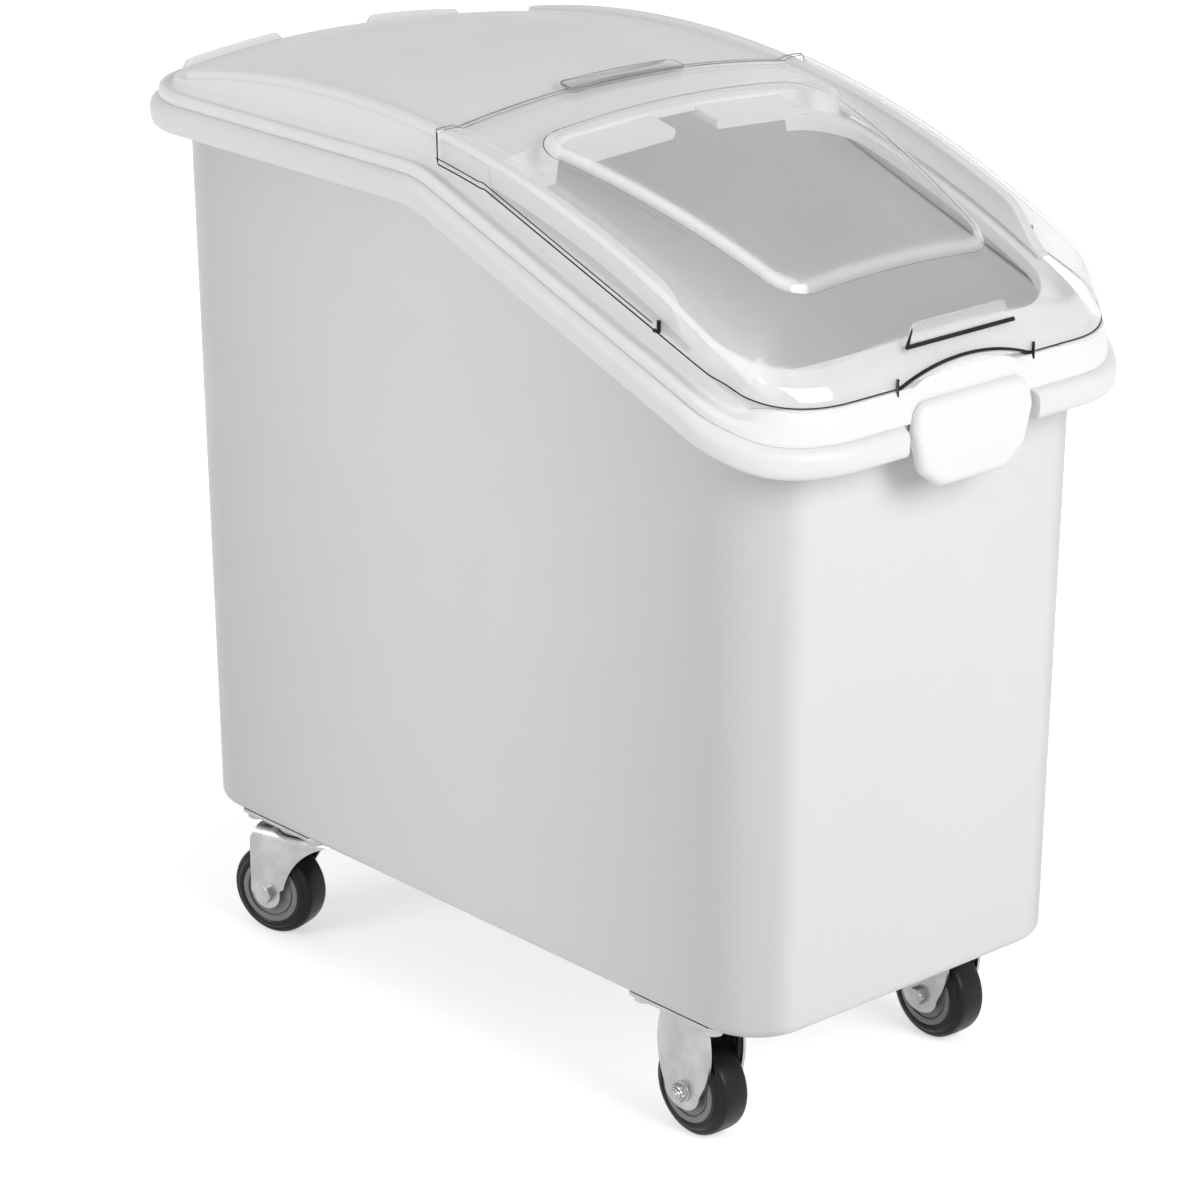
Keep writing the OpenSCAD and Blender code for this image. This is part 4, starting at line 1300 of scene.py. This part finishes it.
        for side in Side:
            s = side.value
            y = np.linspace(hook_y + 9, y1 - 4, 50)
            edge = self.low_edge(0 * y + s * (self.hw + 0.2), y)
            line(s * (self.hw + 0.2), y, edge + 4.4, 0.4)
            bend_y, bend_z = hook_y + np.array([1.0, 1, 1, 6]), edge[0] + np.array([8.0, 3, 0, 0])
            line(s * (self.hw + 1.2), bend_y, bend_z, 1.5)
            line(s * (f.bump_hw + 4), y0 - 1.6, self.hem_z + np.linspace(8, -4.5, 5), 1.1)
        half = self.pull_hw[0]
        # A painted shadow line along the pull's foot, and a painted dark line up its left edge.
        line(np.linspace(-half - 0.2, half + 0.2, 40), y0 + 4.8, z0 + 0.6, 1.7)
        up = np.linspace(-0.4, 13, 12)
        line(up * 0.37 - half, y0 + 5.0, z0 + up, np.linspace(1.5, 0.5, 12))
        ends = [
            cord(outer[0][rear] + np.array([0, 0.3, -0.6]), 0.6),
            cord(outer[REAR_ROW][rear] + np.array([0, 0, 0.1]), 0.35),
        ]
        ledge = self.rear_grip()[2]
        rounds = [
            cord(outer[FOOT_ROW], 0.22 + 0.25 * smooth(-0.2, 0.6, o.ny), True),
            cord(ledge, 0.3 + 0.5 * smooth(-40, -self.grip_hw, ledge[:, 0]), True),
        ]
        return dark, ends, rounds

    def build(self) -> None:
        """Makes the cover as one clear piece, and the painted dark lines along its edges as two more."""
        f, y0 = self.form, self.ends[0]
        shell = Shell("sliding_cover_clear")
        tone = self.marks()
        shell.grid(self.sheet(), mark=np.concatenate([tone[::-1], tone]))
        # A painted grey shade on the rear grip, and a faint painted highlight on the front grip.
        shell.grid(self.rear_grip(), mark=-0.2)
        shell.grid(self.front_grip(), mark=0.1)
        hook_y = f.front + self.hook_in
        hook_z = float(f.line_z(np.array(hook_y + 4))) + self.skirt_up
        arch_x, skirt_x = (f.bump_hw + 3, f.bump_hw + 7), (self.hw - self.sheet_t, self.hw + 1.5)
        arch_z, skirt_z = (self.hem_z - 5, self.hem_z + 9), (hook_z - 0.5, hook_z + 9)
        for side in Side:
            shell.add(
                block([side.value * x for x in arch_x], (y0 - 2.5, y0 + self.sheet_t), arch_z),
                block([side.value * x for x in skirt_x], (hook_y, hook_y + 8), skirt_z),
            )
        shell.build(COVER_CLEAR, "cover", ["sliding_cover"])
        dark, ends, rounds = self.lines()
        Shell("sliding_cover_painted_edge_shade").add(*dark).build(EDGE_SHADE, "cover")
        Shell("sliding_cover_painted_outlines").add(*ends).add(*rounds, loop=True).build(EDGE_GREY_SHADE, "cover")


def hex_radius(angle: Array, flats: float) -> Array:
    """Distance from the middle to a hexagon's edge at an angle, for a width over flats."""
    sector = np.mod(angle, np.pi / 3) - np.pi / 6
    return flats / 2 / np.cos(sector)


@dataclass(frozen=True)
class Place:
    """Where a caster stands: its head's place in plan and its turn in degrees."""

    x: float
    y: float
    turn: float = 0.0

    @classmethod
    def of_node(cls, node: str, turn: float = 0.0) -> "Place":
        """The middle of a CAD node."""
        mid = sum(box_mm(node)) / 2
        return cls(mid[0], mid[1], turn)

    def put(self, points: Array) -> Array:
        """Turns points about Z and moves them to the head."""
        a = math.radians(self.turn)
        x = points[..., 0] * math.cos(a) - points[..., 1] * math.sin(a) + self.x
        y = points[..., 0] * math.sin(a) + points[..., 1] * math.cos(a) + self.y
        return ring_rows(x, y, points[..., 2])


@dataclass
class Caster:
    """What both kinds of caster share: wheel, plate, axle bolt and nut, in the head's own frame."""

    place: Place
    side: Side
    axle: tuple[float, float]
    wheel_d: float = 76.2
    wheel_w: float = 32.0
    tread_w: float = 22.0
    tyre_t: float = 11.6
    leg_in: float = 18.5
    leg_t: float = 2.5
    plate_hw: float = 34.0
    plate_hl: float = 48.0
    plate_r: float = 7.0
    plate_z: float = 105.5
    plate_t: float = 3.0
    plate_edge: float = 0.6
    axle_d: float = 8.0
    flats: float = 12.96

    @property
    def leg_out(self) -> float:
        """Outer face of a leg."""
        return self.leg_in + self.leg_t

    def about_axle(self, x: Array, radius: Array, angle: Array) -> Array:
        """Points at places x along the axle, at a radius and an angle round it."""
        y, z = self.axle
        return self.place.put(ring_rows(x, y + radius * np.cos(angle), z + radius * np.sin(angle)))

    def revolve(self, half: Array) -> Array:
        """Turns a section, given as its outer half (radius, x), and the half's mirror about the axle."""
        section = np.concatenate([half, half[half[:, 1] > 0][::-1] * np.array([1, -1])])
        return self.about_axle(section[:, 1], section[:, 0], around(96)[:, None])

    def tyre(self) -> Array:
        """The tyre: a crowned tread, round shoulders and a bead on the rim."""
        r, w, t = self.wheel_d / 2, self.wheel_w / 2, self.tread_w / 2
        ring = r - self.tyre_t
        a = quarter(7)[::-1]
        shoulder = np.stack([r - 5.2 + 4.9 * np.sin(a), t - 2.5 + 4.6 * np.cos(a)], -1)
        bead = [(ring + 4.5, w - 0.5), (ring + 3.2, w), (ring + 1.4, w), (ring, w - 1.0)]
        return self.revolve(np.concatenate([[(r, 0), (r - 0.08, t - 6)], shoulder, bead]))

    def hub(self) -> Array:
        """The hub: a rim ring, a turned groove, a web and a boss."""
        ring, w = self.wheel_d / 2 - self.tyre_t, self.wheel_w / 2
        groove, bore = ring - 6.1, self.axle_d / 2 + 2.05
        return self.revolve(np.array([
            (ring, w - 1.0), (ring - 0.5, w - 0.5), (ring - 1.4, w - 0.3),
            (groove + 1.7, w - 0.3), (groove + 1.2, w - 0.6), (groove + 1.0, w - 2.4),
            (groove + 0.1, w - 2.6), (groove - 0.2, w - 1.4), (groove - 0.8, w - 1.0),
            (bore + 6.0, w - 1.2), (bore + 4.6, w - 0.6), (bore + 4.0, w + 1.1), (bore + 3.4, w + 1.5),
            (bore, w + 1.5),
        ]))

    def hexagon(self, x0: float, x1: float, outward: int) -> Array:
        """A hexagon along the axle with its outer corners turned off; outward is the side it faces."""
        a = around(72)
        full = hex_radius(a, self.flats)
        cap = self.flats / 2
        radii = np.stack([np.minimum(full, cap * most) for most in (1.08, np.inf, np.inf, 1.07, 0.98)])
        return self.about_axle(outward * blend(x0, x1, column(0, 0.08, 0.72, 0.94, 1)), radii, a)

    def disc(self, x0: float, x1: float, r: float, outward: int, edge: float = 0.4) -> Array:
        """A round slice along the axle with a soft outer edge."""
        x = column(x0, x1 - edge, x1 - 0.3 * edge, x1)
        return self.about_axle(x * outward, column(r, r, r - 0.3 * edge, r - edge), around(48))

    def nut(self, outward: int) -> list[Array]:
        """A lock nut on the leg: washer flange, hexagon and a round collar."""
        x = self.leg_out
        flange, collar = self.disc(x, x + 1.0, 8.4, outward), self.disc(x + 6.0, x + 8.0, 5.5, outward, 0.9)
        return [flange, self.hexagon(x + 0.9, x + 6.2, outward), collar]

    def bolt(self, head: int) -> list[Array]:
        """The axle bolt: a hexagon head on one side, a shank through both legs and a round end."""
        x = self.leg_out
        return [self.hexagon(x, x + 5.3, head), self.disc(-x, x + 9.0, self.axle_d / 2, -head, 0.8)]

    def plate(self) -> Array:
        """The mounting plate with eased edges, in the head's frame."""
        w, h, e, z = self.plate_hw, self.plate_hl, self.plate_edge, self.plate_z
        ring = soft_outline([(-w, -h), (w, -h), (w, h), (-w, h)], self.plate_r, 7, 8)
        middle = ring.mean(0)
        scale = 1 - column(e, 0.25 * e, 0, 0, 0.25 * e, e) / np.abs(ring - middle).max(0)
        top = z + self.plate_t
        height = column(z, z + 0.25 * e, z + e, top - e, top - 0.25 * e, top)
        return ring_rows(*scaled(ring, middle, scale), height)

    def sheet(self, outer: Pair, inner: Pair, y: Array) -> Array:
        """Rings across a bent sheet, along its outer face and back along its inner face.

        Args:
            outer: The outer face's x and z, which spread over y.
            inner: The inner face's x and z.
            y: Places across the sheet, of shape (rings, samples).

        Returns:
            Rings of points.
        """
        near, far = (ring_rows(x, y, z) for x, z in (outer, inner))
        return self.place.put(np.concatenate([near, far[:, ::-1]], 1))

    def wheel(self, where: str) -> None:
        """Makes tyre and hub, which ride on the wheel's body."""
        name = f"{where}_{self.side.word}"
        tyre = Shell(f"tyre_{name}_rubber").add(self.tyre(), loop=True)
        tyre.build(TYRE_RUBBER, f"wheel_{name}", [f"tyre_{name}"])
        hub = Shell(f"hub_{name}_moulding").add(self.hub(), loop=True)
        hub.build(HUB_PLASTIC, f"wheel_{name}", [f"hub_{name}"], sharp=30)


@dataclass
class RigidCaster(Caster):
    """A front caster: a plate with two leaf-shaped legs, the nut on the outside."""

    leaf_r: float = 78.0
    leaf_hw: float = 27.0
    leaf_z: float = 74.0
    eye_r: float = 14.0
    fold_in: float = 2.4
    flare_out: float = 1.5

    def leg(self, sign: int) -> Array:
        """A leaf leg: two arcs that narrow to a round foot below the axle, its front edge folded in."""
        axle_z = self.axle[1]
        z_low, z_high = axle_z - self.eye_r, self.plate_z + 0.2
        s = np.linspace(0, 1, 60)[:, None]
        z = blend(z_low, z_high, np.square(s) * (1 - s) + s ** 2.5)
        leaf = np.sqrt(self.leaf_r ** 2 - (z - self.leaf_z) ** 2) - (self.leaf_r - self.leaf_hw)
        waist = np.interp(axle_z, z[:, 0], leaf[:, 0])
        eye = waist * np.sqrt(np.clip(1 - ((z - axle_z) / self.eye_r) ** 2, 0.0002, None))
        half = np.where(z < axle_z, eye, leaf)
        y = half * np.linspace(-1, 1, 25)
        fold = self.fold_in * smooth(half * 0.62, half, -y) * smooth(axle_z, axle_z + 18, z)
        outer = self.leg_out - fold + self.flare_out * smooth(z_high - 7, z_high, z)
        return self.sheet((outer * sign, z), ((outer - self.leg_t) * sign, z), y)

    def build(self) -> None:
        """Makes fork and wheel."""
        word = self.side.word
        fork = Shell(f"rigid_fork_{word}_stamping").add(self.place.put(self.plate()))
        fork.add(self.leg(-1), self.leg(1)).build(ZINC, "bin", [f"rigid_fork_{word}"])
        self.wheel("front")


# The eye's rings below the swivel axle, as shares of its radius.
EYE_DOWN = np.array([1.0, 0.97, 0.88, 0.75, 0.58, 0.4, 0.2, 0.0])


@dataclass
class SwivelCaster(Caster):
    """A rear caster: a plate with a dished race, and a turning fork bent from one sheet."""

    crown_z: float = 96.5
    crown_front: float = -42.0
    race_r: float = 26.0
    bend_r: float = 7.0
    eye_r: float = 13.0
    leg_hw: float = 15.0
    hollow_r: float = 62.0
    hollow_down: float = 8.0

    def fork_sheet(self) -> Array:
        """The fork as one bent sheet: up one leg, over the crown, down the other.

        Along the bend, the sheet's front edge sweeps in a hollow curve from the axle's eye up to
        the crown's front, and its rear edge stands straight.

        Returns:
            Rings of points across the sheet.
        """
        (trail, axle_z), bend = self.axle, self.bend_r
        mid, top = self.leg_in + self.leg_t / 2, self.crown_z - self.leg_t / 2
        straight = np.concatenate([axle_z - EYE_DOWN * self.eye_r, np.linspace(axle_z, top - bend, 24)[1:]])
        turn = quarter(8)[1:]
        leg_z = np.concatenate([straight, top - bend + bend * np.sin(turn)])
        leg_x = np.concatenate([np.full(len(straight), mid), mid - bend + bend * np.cos(turn)])
        across = np.linspace(mid - bend, bend - mid, 13)[1:-1]
        x = np.concatenate([leg_x, across, -leg_x[::-1]])
        z = np.concatenate([leg_z, np.full(len(across), top), leg_z[::-1]])
        hollow_z, leg_front = axle_z - self.hollow_down, trail - self.leg_hw
        reach = np.sqrt(np.clip(self.hollow_r ** 2 - (z - hollow_z) ** 2, 0, None)) - self.hollow_r
        front = np.maximum(np.where(z < hollow_z, leg_front, leg_front + reach), self.crown_front)
        front = np.where((z >= axle_z) & (z < axle_z + 6), np.maximum(front, trail - self.eye_r), front)
        rear = trail + self.leg_hw - 5.0 * smooth(top - 12, top, z)
        below = np.sqrt(np.clip(self.eye_r ** 2 - (z - axle_z) ** 2, 0.04, None))
        front = np.where(z < axle_z, trail - below, front)
        rear = np.where(z < axle_z, trail + below, rear)
        tangent = np.gradient(np.stack([x, z], -1), axis=0)
        tangent /= np.linalg.norm(tangent, axis=1, keepdims=True)
        aside, rise = tangent[:, 1] * self.leg_t / 2, -tangent[:, 0] * self.leg_t / 2
        faces = [((x + d * aside)[:, None], (z + d * rise)[:, None]) for d in (1, -1)]
        return self.sheet(*faces, blend(front[:, None], rear[:, None], np.linspace(0, 1, 21)))

    def build(self) -> None:
        """Makes plate with race, fork with collar, and wheel; plate and race don't turn with the fork."""
        word, r, z = self.side.word, self.race_r, self.crown_z

        def about_pin(*profile: tuple[float, float]) -> Array:
            """Turns a closed profile (radius, z) about the king pin."""
            p, a = np.array(profile), around(72)[:, None]
            return ring_rows(p[:, 0] * np.cos(a), p[:, 0] * np.sin(a), p[:, 1])

        race = about_pin(
            (6.2, z + 0.3), (r - 1.5, z + 0.3), (r - 0.4, z + 0.7), (r, z + 1.8), (r, z + 3.6),
            (r - 1.2, z + 5.0), (r + 0.5, z + 7.0), (r + 4.0, z + 9.0), (6.2, z + 9.0),
        )
        collar = about_pin(
            (6.3, z - 2.4), (r + 3.0, z - 2.4), (r + 3.6, z - 1.8), (r + 3.6, z - 0.6), (r + 3.0, z - 0.1),
            (6.3, z - 0.1),
        )
        still = Place(self.place.x, self.place.y)
        mount = Shell(f"swivel_mount_{word}_stamping").add(still.put(self.plate()))
        mount.add(still.put(race), loop=True).build(ZINC, "bin", [f"swivel_mount_{word}"])
        fork = Shell(f"swivel_fork_{word}_stamping").add(self.fork_sheet())
        fork.add(self.place.put(collar), loop=True).build(ZINC, f"swivel_{word}", [f"swivel_fork_{word}"])
        self.wheel("rear")


@dataclass
class Running:
    """The four casters with their shared fasteners."""

    turn: float = 18.0
    trail: float = 30.0
    axle_z: float = 38.1
    bolt_x: float = 24.0
    bolt_y: float = 38.0
    bolt_flats: float = 13.0
    sharp: float = 25.0

    def build(self) -> None:
        """Builds the casters and the nodes that group identical fasteners."""
        nuts, bolts, heads = (Shell(n) for n in ("front_nut_pair", "front_bolt_pair", "plate_bolt_set"))
        for side in Side:
            word, s = side.word, side.value
            front = RigidCaster(Place.of_node(f"hub_front_{word}"), side, (0.0, self.axle_z))
            place = Place.of_node(f"swivel_mount_{word}", self.turn)
            rear = SwivelCaster(place, side, (self.trail, self.axle_z))
            front.build()
            nuts.add(*front.nut(s))
            bolts.add(*front.bolt(-s))
            rear.build()
            head = Shell(f"rear_bolt_{word}").add(*rear.bolt(s))
            head.build(BRIGHT_ZINC, f"swivel_{word}", [f"rear_axle_{word}"], self.sharp)
            lock = Shell(f"rear_lock_nut_{word}").add(*rear.nut(-s))
            lock.build(BRIGHT_ZINC, f"swivel_{word}", [f"rear_nut_{word}"], self.sharp)
            heads.add(*self.plate_bolts(front), *self.plate_bolts(rear))
        for shell, node in ((nuts, "front_nuts"), (bolts, "front_axles"), (heads, "plate_bolts")):
            shell.build(BRIGHT_ZINC, "bin", [node], self.sharp)

    def plate_bolts(self, caster: Caster) -> list[Array]:
        """Four hexagon bolts under a caster's plate, with round bearing faces and turned corners."""
        a = around(48)
        full = hex_radius(a + np.pi / 6, self.bolt_flats)
        radii = np.stack([np.minimum(full, most) for most in (6.3, 7.0, np.inf, np.inf, 6.9, 4.0, 4.0)])
        height = caster.plate_z + column(-5.3, -5.0, -4.2, -0.5, 0, 0, 12.0)
        rows = ring_rows(radii * np.cos(a), radii * np.sin(a), height)
        spots = [(x, y) for x in (-self.bolt_x, self.bolt_x) for y in (-self.bolt_y, self.bolt_y)]
        return [rows + np.array([caster.place.x + x, caster.place.y + y, 0]) for x, y in spots]


@dataclass(frozen=True)
class Lamp:
    """A soft square lamp that shines from a place at an aim, in metres and watts."""

    name: str
    place: Triple
    aim: Triple
    size: float
    power: float
    seen: bool = True

    def build(self) -> None:
        """Adds the lamp, which itself shows in the picture or not."""
        data = bpy.data.lights.new(self.name, "AREA")
        data.shape = "SQUARE"
        data.size = self.size
        data.energy = self.power
        obj = put_in_scene(self.name, data)
        obj.visible_camera = obj.visible_glossy = self.seen
        turn = (Vector(self.place) - Vector(self.aim)).to_track_quat("Z", "Y").to_matrix().to_4x4()
        obj.matrix_world = Matrix.Translation(Vector(self.place)) @ turn


LAMPS = (
    Lamp("key_front", (0.1, -3.1, 2.0), (0.0, 0.0, 0.4), size=1.9, power=79.0),
    Lamp("top_soft", (-1.2, 0.2, 3.1), (0.0, 0.0, 0.5), size=2.2, power=6.0),
    Lamp("side_fill", (-3.2, 0.5, 1.4), (0.0, 0.0, 0.4), size=1.6, power=39.0),
    Lamp("through_wall", (0.02, 0.02, 0.26), (0.02, 0.04, 0.7), size=0.26, power=0.7, seen=False),
    Lamp("back_fill", (1.0, 3.4, 1.2), (0.0, 0.0, 0.4), size=2.0, power=15.0, seen=False),
)


@dataclass(frozen=True)
class Studio:
    """Floor, lamps, sky and the camera at the photograph's view."""

    azimuth: float = -41.560
    elevation: float = 20.011
    roll: float = -0.148
    distance: float = 3405.71
    focal_px: float = 4344.01
    image_px: float = 1200.0
    target: Triple = (7.653, 29.884, 316.781)
    sky_light: float = 0.32
    floor_half: float = 12.0
    floor_reach: tuple[float, float] = (0.35, 1.3)
    floor_lift: tuple[float, float] = (0.56, 0.9)

    def camera(self) -> None:
        """Sets the camera on its sphere about the target."""
        a, e, r = (math.radians(v) for v in (self.azimuth, self.elevation, self.roll))
        back = Vector((math.sin(a) * math.cos(e), -math.cos(a) * math.cos(e), math.sin(e)))
        right = Vector((math.cos(a), math.sin(a), 0))
        up = back.cross(right)
        x = math.cos(r) * right + math.sin(r) * up
        y = -math.sin(r) * right + math.cos(r) * up
        data = bpy.data.cameras.new("camera")
        data.sensor_width = 36.0
        data.lens = self.focal_px / self.image_px * data.sensor_width
        data.clip_end = 50.0
        cam = put_in_scene("camera", data)
        turn = Matrix((x, y, back)).transposed().to_4x4()
        cam.matrix_world = Matrix.Translation(Vector(self.target) * MM + back * self.distance * MM) @ turn
        bpy.context.scene.camera = cam

    def sky(self) -> None:
        """A white background where it is seen, and a plain level of light otherwise."""
        n = Nodes(bpy.data.worlds.new("studio"))
        level = n.spread(n.seen(), self.sky_light, 1.0)
        back = n.add("Background", Color=(1, 1, 1, 1), Strength=level)
        bpy.context.scene.world = n.finish(back, "OutputWorld")

    def floor(self) -> None:
        """A wide pale floor that keeps the object's shadow and turns white away from the object."""
        mesh = bpy.data.meshes.new("floor")
        s = self.floor_half
        mesh.from_pydata([(-s, -s, 0), (s, -s, 0), (s, s, 0), (-s, s, 0)], [], [(0, 1, 2, 3)])
        obj = put_in_scene("floor", mesh)
        n = Nodes(bpy.data.materials.new("floor_white"))
        far = n.add("VectorMath", n.add("TexCoord").outputs["Object"], operation="LENGTH").outputs["Value"]
        level = n.spread(far, *self.floor_lift, *self.floor_reach, interpolation_type="SMOOTHSTEP")
        base = n.add("BsdfDiffuse", Color=(0.8, 0.8, 0.8, 1))
        glow = n.add("Emission", Color=(1, 1, 1, 1), Strength=n.math("MULTIPLY", n.seen(), level))
        mesh.materials.append(n.finish(n.add("AddShader", base.outputs[0], glow.outputs[0])))

    def build(self) -> None:
        """Sets up the whole studio."""
        bpy.context.scene.view_settings.view_transform = "Standard"
        self.camera()
        self.sky()
        self.floor()
        for lamp in LAMPS:
            lamp.build()


def dress_nodes() -> None:
    """Gives the CAD nodes that stay in view their finishes."""
    finishes = {
        "base_inserts": BRASS, "king_pins": BRIGHT_ZINC, "grip_screws": BRIGHT_ZINC,
        "front_sleeves": ZINC, "rear_sleeve_left": ZINC, "rear_sleeve_right": ZINC,
    }
    for name, finish in finishes.items():
        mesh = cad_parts[name].data
        mesh.materials.clear()
        mesh.materials.append(finish.material())
        LOG.info("%s dressed in %s", name, finish.name)


def main() -> None:
    """Builds the studio and the pieces in order."""
    logging.basicConfig(level=logging.INFO, format="%(name)s: %(message)s")
    form = Form.from_frame()
    Studio().build()
    for piece in (Bin(form), LidFrame(form), GripPlate(form), SlidingCover(form), Running()):
        piece.build()
    dress_nodes()


if __name__ == "__main__":
    main()
